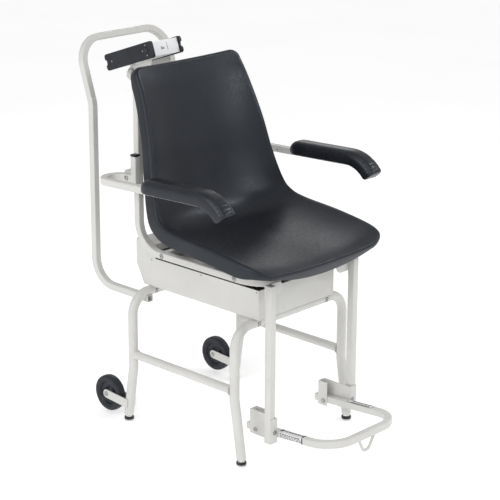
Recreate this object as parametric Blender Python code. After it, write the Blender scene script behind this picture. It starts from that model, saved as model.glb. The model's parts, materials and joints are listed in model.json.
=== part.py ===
"""Rolling chair scale: a moulded chair on a weighing base, with flip-up arms, a folding footrest and two wheels.

Metres, +Z up, front toward -Y. The origin is on the floor, under the middle of the object's box.
"""

from math import acos, atan, cos, hypot, pi, radians, sin, tan

import bmesh
import bpy
from mathutils import Matrix, Vector

# ---- driving dimensions -------------------------------------------------------------------------------------
GAP = 0.0003  # between pieces that touch

LEG_R = 0.0127  # 1 inch round tube
LEG_X = 0.2075
LEG_FRONT_Y = -0.1822
LEG_REAR_Y = 0.1932
FOOT_X = 0.2068
FOOT_FRONT_Y = -0.2096
FOOT_REAR_Y = 0.2180
KNEE_FRONT_Z = 0.1767
KNEE_REAR_Z = 0.1598
KNEE_BEND_R = 0.060
LEG_BEND_R = 0.055
LEG_TOP_Z = 0.3633
LEG_END_Z = 0.0200
STRETCHER_R = 0.0111
STRETCHER_Z = 0.1986

FOOT_PAD_R = 0.0133
FOOT_NECK_R = 0.0092
FOOT_STEM_R = 0.0045
FOOT_BORE_R = 0.0072
FOOT_BORE_DEPTH = 0.018

SHEET = 0.002
BASE_HALF_X = 0.1440
BASE_FRONT_Y = -0.2046
BASE_REAR_FOOT_Y = 0.2152
BASE_REAR_Y = 0.2492
BASE_SLANT_Z = 0.4280
BASE_BOTTOM_Z = LEG_TOP_Z + LEG_R + GAP
BASE_TOP_Z = 0.4560
BASE_HUMP_Y = 0.1700
BASE_HUMP_Z = 0.4960
BASE_TURN_Y = 0.2162  # the side walls turn inward from here
BASE_REAR_HALF_X = 0.1390

TUBE = 0.0190  # square tube
TUBE_CORNER_R = 0.0030
HALF = TUBE / 2

RAIL_X = 0.1584
RAIL_Z = 0.47925
POST_Y = 0.2152
POST_TOP_Z = 0.9050
RAIL_BEND_R = 0.080
RAIL_FRONT_Y = -0.1508
RAIL_FRONT_BEND_R = 0.095
FRONT_SUPPORT_Y = -0.1408
REAR_SUPPORT_Y = 0.1222
SUPPORT_WIDTH = 0.0190
BACK_SUPPORT_Z = 0.8800

PLATFORM_THICK = 0.006
PLATFORM_TOP_Z = RAIL_Z - HALF - GAP
PLATFORM_HALF_X = 0.1400
PLATFORM_FRONT_Y = -0.1950
PLATFORM_REAR_Y = 0.2000
CELL_LENGTH = 0.1500
CELL_WIDTH = 0.0400
CELL_HEIGHT = 0.0400
SPACER_LENGTH = 0.0450
LOWER_SPACER_HEIGHT = 0.0120

HANDLE_X = 0.1561
HANDLE_LOW_Z = 0.34575
HANDLE_START_Y = 0.1797
HANDLE_POST_Y = 0.3923
HANDLE_LOW_BEND_R = 0.0694
HANDLE_KICK_Z = 0.8416
HANDLE_TOP_Y = 0.4470
HANDLE_TOP_Z = 1.0055
HANDLE_KICK_BEND_R = 0.060
HANDLE_TOP_BEND_R = 0.0707

TAB_OUT_X = 0.1680
TAB_IN_X = 0.1040
TAB_REAR_Y = -0.2464
TAB_THICK = 0.0030
TAB_LOW_Z = 0.4520
TAB_HIGH_Z = 0.4860
UPRIGHT_LOW_Z = 0.0640
UPRIGHT_HIGH_Z = 0.4870

FOLD = 0.0025  # sheet of the footrest brackets
FOOTREST_X = 0.1332
FOOTREST_FRONT_Y = -0.4482
FOOTREST_REAR_Y = -0.1638
FOOTREST_BEND_R = 0.0727
FOOTREST_SLOPE = 0.07
FOOTREST_Z_AT = 0.08505  # height of the arms' centre line ...
FOOTREST_Y_AT = -0.2458  # ... at this Y
BRACKET_LOW_Z = 0.0650
BRACKET_HIGH_Z = 0.1320
BRACKET_STOP_Y = -0.1805  # front face of the wall that stops the arms
FOOTREST_PIVOT_Y = -0.1975
FOOTREST_PIVOT_Z = 0.0785
PIVOT_R = 0.0040
PULL_ROD_R = 0.0032

WHEEL_X = 0.2070
WHEEL_Y = 0.2888
WHEEL_Z = 0.0600
WHEEL_R = 0.0500
WHEEL_WIDTH = 0.0250
HUB_R = 0.0360
AXLE_R = 0.0040
BAR_THICK = 0.0030
BAR_WIDTH = 0.0240
BAR_LEG_Z = 0.0540
BAR_PAST_LEG = 0.0040

ARM_OUT_X = 0.2778
ARM_IN_X = 0.2098
ARM_RISE = 0.04
ARM_Z_AT_ORIGIN = 0.69487
ARM_REAR_Y = 0.2472
ARM_DROOP_Y = -0.1800  # where the straight run would meet the drooping end
ARM_DROOP_R = 0.0830
ARM_DROOP_ANGLE = radians(50)
ARM_DROOP_RUN = 0.0425
STUB_FRONT_Y = 0.1622
STUB_REAR_Y = 0.1812
STUB_LOW_Z = 0.6780
STUB_HIGH_Z = 0.7480
ARM_PIVOT_Y = 0.1962
ARM_PIVOT_Z = 0.6868
ARM_BRACKET_LOW_Z = 0.6650
ARM_BRACKET_HIGH_Z = 0.7000
SHELF_THICK = 0.0040

PAD_HALF_X = 0.0260
PAD_REAR_Y = 0.0612
PAD_BELOW = 0.0030
PAD_ABOVE = 0.0345
PAD_END_GAP = 0.0040  # pad past the tube's end

SHELL_THICK = 0.0045
RIM_R = 0.0080
SHELL_SEAT_GAP = 0.0010  # between the curved shell and the flat risers that carry it

YOKE_X = 0.0340
YOKE_SHEET = 0.0025
YOKE_FRONT_Y = 0.2912
YOKE_REAR_Y = 0.3902
TILT_Y = 0.3662
TILT_Z = 0.9170
KNOB_R = 0.0078
KNOB_LENGTH = 0.0110
CASE_TILT = radians(19.2)
CASE_Y = 0.3587
CASE_Z = 0.9604
CASE_HALF_X = 0.0565
CHEEK_THICK = 0.0090
SLEEVE_INSET_Y = 0.0080  # the cheeks reach past the sleeve in front and behind
SLEEVE_INSET_Z = 0.0030
CASE_HALF_Y = 0.09675
CASE_HALF_Z = 0.0226
CASE_WALL = 0.0025
KEY_TRAVEL = 0.0010
BOARD_Z = 0.0076  # top of the circuit board above the case's middle
BOARD_THICK = 0.0016

SIDES = {"left": -1, "right": 1}


# ---- materials ----------------------------------------------------------------------------------------------
def material(name, colour, roughness, metallic=0.0):
    """One named Principled material."""
    made = bpy.data.materials.new(name)
    made.use_nodes = True
    shader = made.node_tree.nodes["Principled BSDF"]
    shader.inputs["Base Color"].default_value = (*colour, 1.0)
    shader.inputs["Roughness"].default_value = roughness
    shader.inputs["Metallic"].default_value = metallic
    return made


# ---- building blocks ----------------------------------------------------------------------------------------
def finish_mesh(name, bm, finish, smooth=False, origin=(0, 0, 0)):
    """Turns bm, which is in world metres, into a named object whose origin is at the given point."""
    bmesh.ops.remove_doubles(bm, verts=bm.verts, dist=1e-6)
    bmesh.ops.recalc_face_normals(bm, faces=bm.faces)
    bmesh.ops.translate(bm, verts=bm.verts, vec=-Vector(origin))
    mesh = bpy.data.meshes.new(name)
    bm.to_mesh(mesh)
    bm.free()
    if smooth:
        mesh.shade_smooth()
        mesh.set_sharp_from_angle(angle=radians(35))
    mesh.materials.append(finish)
    made = bpy.data.objects.new(name, mesh)
    made.location = origin
    bpy.context.scene.collection.objects.link(made)
    return made


def block(name, low, high, finish, bevel=0.0, origin=(0, 0, 0)):
    """A box between two corners, with its edges rounded if bevel is given."""
    bm = bmesh.new()
    bmesh.ops.create_cube(bm, size=1.0)
    low, high = Vector(low), Vector(high)
    bmesh.ops.scale(bm, verts=bm.verts, vec=high - low)
    bmesh.ops.translate(bm, verts=bm.verts, vec=(low + high) / 2)
    if bevel:
        bmesh.ops.bevel(bm, geom=bm.edges, offset=bevel, segments=2, profile=0.5, affect="EDGES")
    return finish_mesh(name, bm, finish, smooth=bool(bevel), origin=origin)


def prism(name, outline, plane, low, high, finish, origin=(0, 0, 0)):
    """Extrudes a flat outline. plane is "xy", "xz" or "yz"; low and high are along the third axis."""
    slots = {"xy": (0, 1, 2), "xz": (0, 2, 1), "yz": (1, 2, 0)}[plane]
    bm = bmesh.new()
    rings = []
    for level in (low, high):
        ring = []
        for a, b in outline:
            point = [0.0, 0.0, 0.0]
            point[slots[0]], point[slots[1]], point[slots[2]] = a, b, level
            ring.append(bm.verts.new(point))
        rings.append(ring)
    bridge(bm, rings)
    bm.faces.new(rings[0])
    bm.faces.new(rings[1])
    return finish_mesh(name, bm, finish, origin=origin)


def bridge(bm, rings, closed=True):
    """Quads between each ring of vertices and the next."""
    for one, two in zip(rings, rings[1:]):
        count = len(one)
        for i in range(count if closed else count - 1):
            j = (i + 1) % count
            bm.faces.new((one[i], one[j], two[j], two[i]))


def turned(name, profile, start, axis, finish, sides=24, origin=None):
    """Revolves (distance along the axis, radius) pairs. A first and last radius of 0 close it; otherwise it is a ring."""
    axis = Vector(axis).normalized()
    side = axis.orthogonal().normalized()
    other = axis.cross(side)
    start = Vector(start)
    solid = profile[0][1] == 0 and profile[-1][1] == 0
    bm = bmesh.new()
    rings = []
    for along, radius in profile:
        if radius == 0:
            rings.append([bm.verts.new(start + axis * along)])
            continue
        ring = []
        for i in range(sides):
            turn = 2 * pi * i / sides
            ring.append(bm.verts.new(start + axis * along + (side * cos(turn) + other * sin(turn)) * radius))
        rings.append(ring)
    if not solid:
        rings.append(rings[0])
    for one, two in zip(rings, rings[1:]):
        for i in range(sides):
            j = (i + 1) % sides
            corners = [one[i % len(one)], one[j % len(one)], two[j % len(two)], two[i % len(two)]]
            bm.faces.new(list(dict.fromkeys(corners)))
    return finish_mesh(name, bm, finish, smooth=True, origin=start if origin is None else origin)


def rod(name, start, end, radius, finish, sides=14, origin=None):
    """A plain cylinder from one point to another."""
    start, end = Vector(start), Vector(end)
    length = (end - start).length
    return turned(name, [(0, 0), (0, radius), (length, radius), (length, 0)], start, end - start, finish, sides, origin)


def route(corners, step=radians(20)):
    """Points along straight runs joined by arcs. Each corner is (point, bend radius); the ends have radius 0."""
    points = [Vector(corners[0][0])]
    for (before, _), (corner, radius), (after, _) in zip(corners, corners[1:], corners[2:]):
        corner = Vector(corner)
        back = (Vector(before) - corner).normalized()
        ahead = (Vector(after) - corner).normalized()
        turn = pi - acos(max(-1.0, min(1.0, back.dot(ahead))))
        middle = (back + ahead).normalized()
        centre = corner + middle * (radius / cos(turn / 2))
        first = corner + back * (radius * tan(turn / 2)) - centre
        pole = first.cross(corner - centre).normalized()
        count = max(2, round(turn / step))
        for i in range(count + 1):
            points.append(centre + Matrix.Rotation(turn * i / count, 3, pole) @ first)
    points.append(Vector(corners[-1][0]))
    return points


def round_section(radius, sides):
    return [(radius * cos(2 * pi * i / sides), radius * sin(2 * pi * i / sides)) for i in range(sides)]


def square_section(size, corner, grow=0.0):
    """A square with rounded corners, as (sideways, up) pairs."""
    half = size / 2 - corner
    points = []
    for quarter, (sx, sy) in enumerate(((1, 1), (-1, 1), (-1, -1), (1, -1))):
        for i in range(3):
            turn = radians(90 * quarter + 45 * i)
            points.append((sx * half + (corner + grow) * cos(turn), sy * half + (corner + grow) * sin(turn)))
    return points


def sweep(name, section, path, sideways, finish, end_normals=(None, None), bore=None, origin=(0, 0, 0)):
    """Carries a section along a path, mitred at every point.

    end_normals tilt the two end cuts. bore is (section, depth) of a blind hole in each end.
    """
    bm = bmesh.new()
    rings = swept_rings(section, path, sideways, end_normals)
    rings = [[bm.verts.new(point) for point in ring] for ring in rings]
    bridge(bm, rings)
    if bore is None:
        bm.faces.new(rings[0])
        bm.faces.new(rings[-1])
    else:
        inner = swept_rings(bore[0], path, sideways, end_normals)
        ends = ((rings[0], inner[0], path[1] - path[0]), (rings[-1], inner[-1], path[-2] - path[-1]))
        for outer_ring, mouth, inward in ends:
            deep = [point + inward.normalized() * bore[1] for point in mouth]
            mouth = [bm.verts.new(point) for point in mouth]
            deep = [bm.verts.new(point) for point in deep]
            bridge(bm, [outer_ring, mouth, deep])
            bm.faces.new(deep)
    return finish_mesh(name, bm, finish, smooth=True, origin=origin)


def swept_rings(section, path, sideways, end_normals):
    """The section's points at every point of the path."""
    heading = (path[1] - path[0]).normalized()
    side = (Vector(sideways) - heading * Vector(sideways).dot(heading)).normalized()
    up = heading.cross(side)
    ring = [path[0] + side * a + up * b for a, b in section]
    if end_normals[0] is not None:
        ring = slide(ring, heading, path[0], Vector(end_normals[0]))
    rings = [ring]
    for i in range(1, len(path)):
        heading = (path[i] - path[i - 1]).normalized()
        normal = heading
        if i < len(path) - 1:
            normal = heading + (path[i + 1] - path[i]).normalized()
        elif end_normals[1] is not None:
            normal = Vector(end_normals[1])
        ring = slide(ring, heading, path[i], normal)
        rings.append(ring)
    return rings


def slide(ring, heading, point, normal):
    """Moves each ring point along the heading onto the plane through point."""
    return [q + heading * ((point - q).dot(normal) / heading.dot(normal)) for q in ring]


def boolean(target, tool, operation="DIFFERENCE"):
    """Cuts or joins with another object, and drops that object."""
    modifier = target.modifiers.new(tool.name, "BOOLEAN")
    modifier.operation = operation
    modifier.solver = "EXACT"
    modifier.object = tool
    bpy.context.view_layer.update()
    evaluated = target.evaluated_get(bpy.context.evaluated_depsgraph_get())
    mesh = bpy.data.meshes.new_from_object(evaluated)
    mesh.name = target.name
    target.modifiers.clear()
    target.data = mesh
    bpy.data.objects.remove(tool)
    return target


def body_root(name, point):
    """An empty on a joint's axis, which carries one moving assembly."""
    empty = bpy.data.objects.new(name, None)
    empty.location = point
    bpy.context.scene.collection.objects.link(empty)
    return empty


def carry(empty, *pieces):
    bpy.context.view_layer.update()
    for piece in pieces:
        piece.parent = empty
        piece.matrix_parent_inverse = empty.matrix_world.inverted()


# ---- legs, stretchers and feet ------------------------------------------------------------------------------
def leg_path(leg_y, foot_y, knee_z):
    """From the left foot up, across under the base, and down to the right foot."""
    end_share = LEG_END_Z / knee_z
    end_x = FOOT_X + (LEG_X - FOOT_X) * end_share
    end_y = foot_y + (leg_y - foot_y) * end_share
    corners = [
        ((-end_x, end_y, LEG_END_Z), 0),
        ((-LEG_X, leg_y, knee_z), KNEE_BEND_R),
        ((-LEG_X, leg_y, LEG_TOP_Z), LEG_BEND_R),
        ((LEG_X, leg_y, LEG_TOP_Z), LEG_BEND_R),
        ((LEG_X, leg_y, knee_z), KNEE_BEND_R),
        ((end_x, end_y, LEG_END_Z), 0),
    ]
    return route(corners)


def leg_frame(name, path, finish):
    section = round_section(LEG_R, 16)
    bore = (round_section(FOOT_BORE_R, 16), FOOT_BORE_DEPTH)
    return sweep(name, section, path, (1, 0, 0), finish, ((0, 0, 1), (0, 0, 1)), bore)


def stretcher(side_name, finish):
    """A straight tube between two legs, coped to fit them."""
    x = SIDES[side_name] * LEG_X
    made = rod(side_name + "_stretcher", (x, LEG_FRONT_Y, STRETCHER_Z), (x, LEG_REAR_Y, STRETCHER_Z), STRETCHER_R, finish)
    for leg_y in (LEG_FRONT_Y, LEG_REAR_Y):
        low = (x, leg_y, STRETCHER_Z - 2 * STRETCHER_R)
        high = (x, leg_y, STRETCHER_Z + 2 * STRETCHER_R)
        boolean(made, rod("leg_cope", low, high, LEG_R + 2 * GAP, finish))
    return made


def foot(name, x, y, finish):
    """A levelling foot: pad, neck and the stem that screws into the leg."""
    neck_top = LEG_END_Z - GAP
    profile = [
        (0, 0),
        (0, FOOT_PAD_R - 0.0015),
        (0.0030, FOOT_PAD_R),
        (0.0120, FOOT_PAD_R),
        (0.0120, FOOT_NECK_R - 0.0012),
        (0.0160, FOOT_NECK_R - 0.0012),
        (0.0165, FOOT_NECK_R),
        (neck_top, FOOT_NECK_R),
        (neck_top, FOOT_STEM_R),
        (neck_top + 0.012, FOOT_STEM_R),
        (neck_top + 0.012, 0),
    ]
    return turned(name, profile, (x, y, 0), (0, 0, 1), finish, 14)


def end_point(foot_y, leg_y, knee_z):
    """Y of the leg's lower end."""
    return foot_y + (leg_y - foot_y) * LEG_END_Z / knee_z


def build_legs(white, chrome):
    front = leg_path(LEG_FRONT_Y, FOOT_FRONT_Y, KNEE_FRONT_Z)
    rear = leg_path(LEG_REAR_Y, FOOT_REAR_Y, KNEE_REAR_Z)
    leg_frame("front_leg_frame", front, white)
    leg_frame("rear_leg_frame", rear, white)
    for side_name, side in SIDES.items():
        stretcher(side_name, white)
        foot(side_name + "_front_foot", side * FOOT_X, end_point(FOOT_FRONT_Y, LEG_FRONT_Y, KNEE_FRONT_Z), chrome)
        foot(side_name + "_rear_foot", side * FOOT_X, end_point(FOOT_REAR_Y, LEG_REAR_Y, KNEE_REAR_Z), chrome)
    return rear


# ---- base and weighing mechanism ----------------------------------------------------------------------------
def base_form(name, inset, over, finish):
    """The base's outer form, or with an inset the hollow inside it; over lifts its top."""
    profile = [
        (BASE_FRONT_Y + inset, BASE_BOTTOM_Z + inset),
        (BASE_REAR_FOOT_Y - inset / 2, BASE_BOTTOM_Z + inset),
        (BASE_REAR_Y - inset, BASE_SLANT_Z),
        (BASE_REAR_Y - inset, BASE_HUMP_Z - inset),
        (BASE_HUMP_Y + inset, BASE_HUMP_Z - inset),
        (BASE_HUMP_Y + inset, BASE_TOP_Z + over),
        (BASE_FRONT_Y + inset, BASE_TOP_Z + over),
    ]
    wide = BASE_HALF_X - inset
    narrow = BASE_REAR_HALF_X - inset
    front = BASE_FRONT_Y - 0.05
    rear = BASE_REAR_Y + 0.05
    narrowing = (BASE_HALF_X - BASE_REAR_HALF_X) / (BASE_REAR_Y - BASE_TURN_Y)
    narrow -= narrowing * 0.05
    plan = [(wide, front), (wide, BASE_TURN_Y), (narrow, rear), (-narrow, rear), (-wide, BASE_TURN_Y), (-wide, front)]
    made = prism(name, profile, "yz", -BASE_HALF_X - 0.01, BASE_HALF_X + 0.01, finish)
    return boolean(made, prism("plan", plan, "xy", 0.3, 0.6, finish), "INTERSECT")


def base_housing(finish):
    """A sheet housing, open at the top under the seat and taller at the rear, where it leans out and turns inward."""
    made = base_form("base_housing", 0.0, 0.0, finish)
    return boolean(made, base_form("base_hollow", SHEET, 0.02, finish))


def load_cell(low_z, finish):
    """An aluminium beam with the two joined holes that make it bend."""
    half_y = CELL_LENGTH / 2
    made = block("load_cell", (-CELL_WIDTH / 2, -half_y, low_z), (CELL_WIDTH / 2, half_y, low_z + CELL_HEIGHT), finish)
    middle_z = low_z + CELL_HEIGHT / 2
    hole_r = 0.012
    reach = CELL_WIDTH
    waist = block("waist", (-reach, -0.015, middle_z - 0.004), (reach, 0.015, middle_z + 0.004), finish)
    for y in (-0.015, 0.015):
        boolean(waist, rod("flexure", (-reach, y, middle_z), (reach, y, middle_z), hole_r, finish), "UNION")
    return boolean(made, waist)


def build_base(white, aluminium, steel):
    base_housing(white)
    floor_z = BASE_BOTTOM_Z + SHEET + GAP
    cell_z = floor_z + LOWER_SPACER_HEIGHT + GAP
    platform_z = PLATFORM_TOP_Z - PLATFORM_THICK
    half_x = CELL_WIDTH / 2
    end_y = CELL_LENGTH / 2
    block(
        "lower_spacer",
        (-half_x, end_y - SPACER_LENGTH, floor_z),
        (half_x, end_y, cell_z - GAP),
        steel,
    )
    load_cell(cell_z, aluminium)
    block(
        "upper_spacer",
        (-half_x, -end_y, cell_z + CELL_HEIGHT + GAP),
        (half_x, SPACER_LENGTH - end_y, platform_z - GAP),
        steel,
    )
    block(
        "weigh_platform",
        (-PLATFORM_HALF_X, PLATFORM_FRONT_Y, platform_z),
        (PLATFORM_HALF_X, PLATFORM_REAR_Y, PLATFORM_TOP_Z),
        white,
    )


# ---- seat shell ---------------------------------------------------------------------------------------------
# The crest of the rim on one side, from the front to the top, as (half width, y, z).
CREST = [
    (0.2300, -0.3000, 0.5370),
    (0.2450, -0.2500, 0.5560),
    (0.2480, -0.1350, 0.5740),
    (0.2480, -0.0100, 0.5860),
    (0.2470, 0.0400, 0.6000),
    (0.2400, 0.0640, 0.6300),
    (0.2265, 0.0900, 0.7040),
    (0.2115, 0.1150, 0.8010),
    (0.1965, 0.1540, 0.9030),
    (0.1900, 0.1900, 0.9670),
]
# How far the middle of the shell lies below or behind its crest, at the same stations.
DISH = [0.010, 0.022, 0.034, 0.040, 0.044, 0.046, 0.044, 0.040, 0.026, 0.010]
TOP_CORNER_R = 0.018
FRONT_CORNER_R = 0.045
FRONT_BOW = 0.008
RIM_SIDE_DEPTH = 0.042
RIM_FRONT_DEPTH = 0.034
RIM_CORNER_DEPTH = 0.016
RIM_TOP_DEPTH = 0.024
RIM_BACK_DEPTH = 0.034
RIM_FRONT_RUN = 0.12  # lengths along the crest over which the rim's depth changes
RIM_CLIMB_START = 0.35
RIM_CLIMB_RUN = 0.20
RIM_TOP_RUN = 0.05


def spline(values, t):
    """A smooth curve through evenly spaced values, read at t from 0 to 1."""
    place = t * (len(values) - 1)
    i = min(int(place), len(values) - 2)
    f = place - i
    p1, p2 = values[i], values[i + 1]
    p0 = values[i - 1] if i > 0 else p1 * 2 - p2
    p3 = values[i + 2] if i + 2 < len(values) else p2 * 2 - p1
    cubic = (p3 - p0 + (p1 - p2) * 3) * f**3 + (p0 * 2 - p1 * 5 + p2 * 4 - p3) * f**2
    return p1 + (cubic + (p2 - p0) * f) * 0.5


def smooth_step(t):
    t = max(0.0, min(1.0, t))
    return t * t * (3 - 2 * t)


class ShellForm:
    """The seat shell's upper surface: station t runs from the front edge to the top, share s across it."""

    def __init__(self):
        self.stations = [Vector(point) for point in CREST]
        self.length = sum((b - a).yz.length for a, b in zip(self.stations, self.stations[1:]))

    def crest(self, t):
        return spline(self.stations, t)

    def normal(self, t):
        """Toward the sitter, in the side view."""
        step = 0.002
        ahead = self.crest(min(1.0, t + step)) - self.crest(max(0.0, t - step))
        along = Vector((0, ahead.y, ahead.z)).normalized()
        return Vector((0, -along.z, along.y))

    def half_width(self, t, inset=RIM_R):
        """Half the width at a station, less at the rounded corners."""
        width = self.crest(t).x - inset
        from_front = t * self.length
        from_top = (1 - t) * self.length
        for distance, corner in ((from_front, FRONT_CORNER_R), (from_top, TOP_CORNER_R)):
            if distance < corner:
                width -= corner - (corner**2 - (corner - distance) ** 2) ** 0.5
        return width

    def point(self, s, t):
        """s from -1 to 1 across, t from 0 to 1 along."""
        crest = self.crest(t)
        x = s * self.half_width(t)
        q = min(1.0, abs(x) / (crest.x - RIM_R))
        depth = spline(DISH, t) * (1 - q**2.6)
        bow = -FRONT_BOW * (1 - q**2) * smooth_step(1 - t * 6)
        place = Vector((x, crest.y + bow, crest.z)) - self.normal(t) * depth
        return place


def edge_loop(across, along):
    """(s, t) of each point around the rim, once round, starting at the left front corner."""
    loop = [(-1 + 2 * i / across, 0.0) for i in range(across)]
    loop += [(1.0, along[i]) for i in range(len(along) - 1)]
    loop += [(1 - 2 * i / across, 1.0) for i in range(across)]
    loop += [(-1.0, along[i]) for i in range(len(along) - 1, 0, -1)]
    return loop


def rim_depth(form, s, t):
    """How far the rim is turned down at a place on the loop."""
    if t == 0.0:
        return RIM_CORNER_DEPTH + (RIM_FRONT_DEPTH - RIM_CORNER_DEPTH) * (1 - abs(s) ** 2)
    if t == 1.0:
        return RIM_TOP_DEPTH
    rise = smooth_step(t * form.length / RIM_FRONT_RUN)
    climb = smooth_step((t * form.length - RIM_CLIMB_START) / RIM_CLIMB_RUN)
    fall = smooth_step((1 - t) * form.length / RIM_TOP_RUN)
    depth = RIM_CORNER_DEPTH + (RIM_SIDE_DEPTH - RIM_CORNER_DEPTH) * rise
    depth += (RIM_BACK_DEPTH - RIM_SIDE_DEPTH) * climb
    return RIM_TOP_DEPTH + (depth - RIM_TOP_DEPTH) * fall


def shell_stations(form, count):
    """Station values, closer together at the two rounded ends."""
    corner_share = TOP_CORNER_R / form.length
    front_share = FRONT_CORNER_R / form.length
    corner_steps = [1 - cos(radians(30 * i)) for i in range(4)]
    stations = [front_share * share for share in corner_steps]
    stations += [front_share + (1 - corner_share - front_share) * i / count for i in range(1, count)]
    stations += [1 - corner_share * share for share in reversed(corner_steps)]
    return stations


def shell_mesh(form, across, count):
    """The shell's outer skin: the dished surface, then the rounded rim, then its turned-down flange."""
    bm = bmesh.new()
    along = shell_stations(form, count)
    grid = []
    for t in along:
        grid.append([bm.verts.new(form.point(-1 + 2 * i / across, t)) for i in range(across + 1)])
    bridge(bm, grid, closed=False)
    loop = edge_loop(across, along)
    last = len(along) - 1
    crest = [grid[0][i] for i in range(across)]
    crest += [grid[i][across] for i in range(last)]
    crest += [grid[last][across - i] for i in range(across)]
    crest += [grid[last - i][0] for i in range(last)]
    rings = [crest]
    count_round = len(loop)
    outward = []
    normals = []
    for i, (s, t) in enumerate(loop):
        before = crest[i - 1].co
        after = crest[(i + 1) % count_round].co
        normal = form.normal(t)
        normals.append(normal)
        outward.append((after - before).cross(normal).normalized())
    for turn in (30, 60, 90):
        ring = []
        for i, vertex in enumerate(crest):
            out = RIM_R * sin(radians(turn))
            down = RIM_R * (1 - cos(radians(turn)))
            ring.append(bm.verts.new(vertex.co + outward[i] * out - normals[i] * down))
        rings.append(ring)
    skirt = []
    for i, (s, t) in enumerate(loop):
        drop = rim_depth(form, s, t) - RIM_R
        skirt.append(bm.verts.new(rings[-1][i].co - normals[i] * drop))
    rings.append(skirt)
    bridge(bm, rings)
    return bm


def seat_shell(form, finish):
    made = finish_mesh("seat_shell", shell_mesh(form, 10, 14), finish, smooth=True)
    for polygon in made.data.polygons:
        if polygon.normal.z > 0 and polygon.center.z < 0.56 and abs(polygon.center.x) < 0.1:
            break
    else:
        made.data.flip_normals()
    thickness = made.modifiers.new("thickness", "SOLIDIFY")
    thickness.thickness = SHELL_THICK
    thickness.offset = -1
    thickness.use_even_offset = True
    return made


# ---- seat rails and supports --------------------------------------------------------------------------------
def seat_rail(side_name, finish):
    """Back post, bend, rail under the seat and the inward curve at the front."""
    side = SIDES[side_name]
    turn_share = 0.912  # sine of the angle through which the front end turns inward
    corners = [
        ((side * RAIL_X, POST_Y, POST_TOP_Z), 0),
        ((side * RAIL_X, POST_Y, RAIL_Z), RAIL_BEND_R),
        ((side * RAIL_X, RAIL_FRONT_Y, RAIL_Z), 0),
    ]
    path = route(corners)
    centre = Vector((side * (RAIL_X - RAIL_FRONT_BEND_R), RAIL_FRONT_Y, RAIL_Z))
    whole = pi / 2 - acos(turn_share)
    steps = 5
    for i in range(1, steps + 1):
        turn = whole * i / steps
        path.append(centre + Vector((side * cos(turn), -sin(turn), 0)) * RAIL_FRONT_BEND_R)
    section = square_section(TUBE, TUBE_CORNER_R)
    bore = (square_section(TUBE - 0.004, 0.002), 0.03)
    return sweep(side_name + "_seat_rail", section, path, (1, 0, 0), finish, bore=bore)


def riser_outline(reach, base, top, riser_tops):
    """A bar from -reach to reach with one riser on each half."""
    near, far = 0.062, 0.110
    taper = 0.008
    low_end, high_end = riser_tops
    half = [(reach, top), (far + taper, top), (far, high_end), (near, low_end), (near - taper, top)]
    mirrored = [(-a, b) for a, b in reversed(half)]
    return [(-reach, base), (reach, base)] + half + mirrored


def seat_support(name, form, y, finish):
    """A cross bar between the rails whose two risers carry the shell."""
    tops = []
    for x in (0.062, 0.110):
        heights = [under_surface(form, x, y + dy).z for dy in (-SUPPORT_WIDTH / 2, 0.0, SUPPORT_WIDTH / 2)]
        tops.append(min(heights) - SHELL_SEAT_GAP)
    outline = riser_outline(RAIL_X - HALF - GAP, RAIL_Z - HALF, RAIL_Z + HALF, tops)
    return prism(name, outline, "xz", y - SUPPORT_WIDTH / 2, y + SUPPORT_WIDTH / 2, finish)


def under_surface(form, x, y, low=0.02, high=0.45):
    """Point on the shell's underside above a place in plan."""
    for _ in range(40):
        middle = (low + high) / 2
        if form.point(x / form.half_width(middle), middle).y < y:
            low = middle
        else:
            high = middle
    point = form.point(x / form.half_width(low), low)
    return point - form.normal(low) * (SHELL_THICK * 1.15)


def back_support(form, finish):
    """A cross bar between the back posts whose two risers reach forward to the shell's back."""
    fronts = []
    for x in (0.062, 0.110):
        places = [behind_surface(form, x, BACK_SUPPORT_Z + dz).y for dz in (-HALF, 0.0, HALF)]
        fronts.append(max(places) + SHELL_SEAT_GAP)
    outline = riser_outline(RAIL_X - HALF - GAP, POST_Y + HALF, POST_Y - HALF, fronts)
    return prism("back_support", outline, "xy", BACK_SUPPORT_Z - HALF, BACK_SUPPORT_Z + HALF, finish)


def behind_surface(form, x, z, low=0.55, high=0.98):
    """Point on the shell's back face at a height."""
    for _ in range(40):
        middle = (low + high) / 2
        if form.point(x / form.half_width(middle), middle).z < z:
            low = middle
        else:
            high = middle
    point = form.point(x / form.half_width(low), low)
    return point - form.normal(low) * (SHELL_THICK * 1.15)


def build_seat(white, black):
    form = ShellForm()
    seat_shell(form, black)
    for side_name in SIDES:
        seat_rail(side_name, white)
    seat_support("front_seat_support", form, FRONT_SUPPORT_Y, white)
    seat_support("rear_seat_support", form, REAR_SUPPORT_Y, white)
    back_support(form, white)


# ---- push handle --------------------------------------------------------------------------------------------
def push_handle(rear_leg_path, finish):
    """A U of square tube: two runs under the rear leg frame, two posts and a grip bar that leans back."""
    kick_bend = HANDLE_KICK_BEND_R
    half = []
    for side in (-1, 1):
        x = side * HANDLE_X
        half.append([
            ((x, HANDLE_START_Y, HANDLE_LOW_Z), 0),
            ((x, HANDLE_POST_Y, HANDLE_LOW_Z), HANDLE_LOW_BEND_R),
            ((x, HANDLE_POST_Y, HANDLE_KICK_Z), kick_bend),
            ((x, HANDLE_TOP_Y, HANDLE_TOP_Z), HANDLE_TOP_BEND_R),
        ])
    path = route(half[0] + half[1][::-1])
    section = square_section(TUBE, TUBE_CORNER_R)
    bore = (square_section(TUBE - 0.004, 0.002), 0.03)
    made = sweep("push_handle", section, path, (1, 0, 0), finish, bore=bore)
    notch = sweep("weld_notch", round_section(LEG_R + GAP, 16), rear_leg_path, (1, 0, 0), finish)
    return boolean(made, notch)


# ---- footrest -----------------------------------------------------------------------------------------------
def footrest_z(y):
    """Height of the footrest's centre line."""
    return FOOTREST_Z_AT - FOOTREST_SLOPE * (y - FOOTREST_Y_AT)


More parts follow.
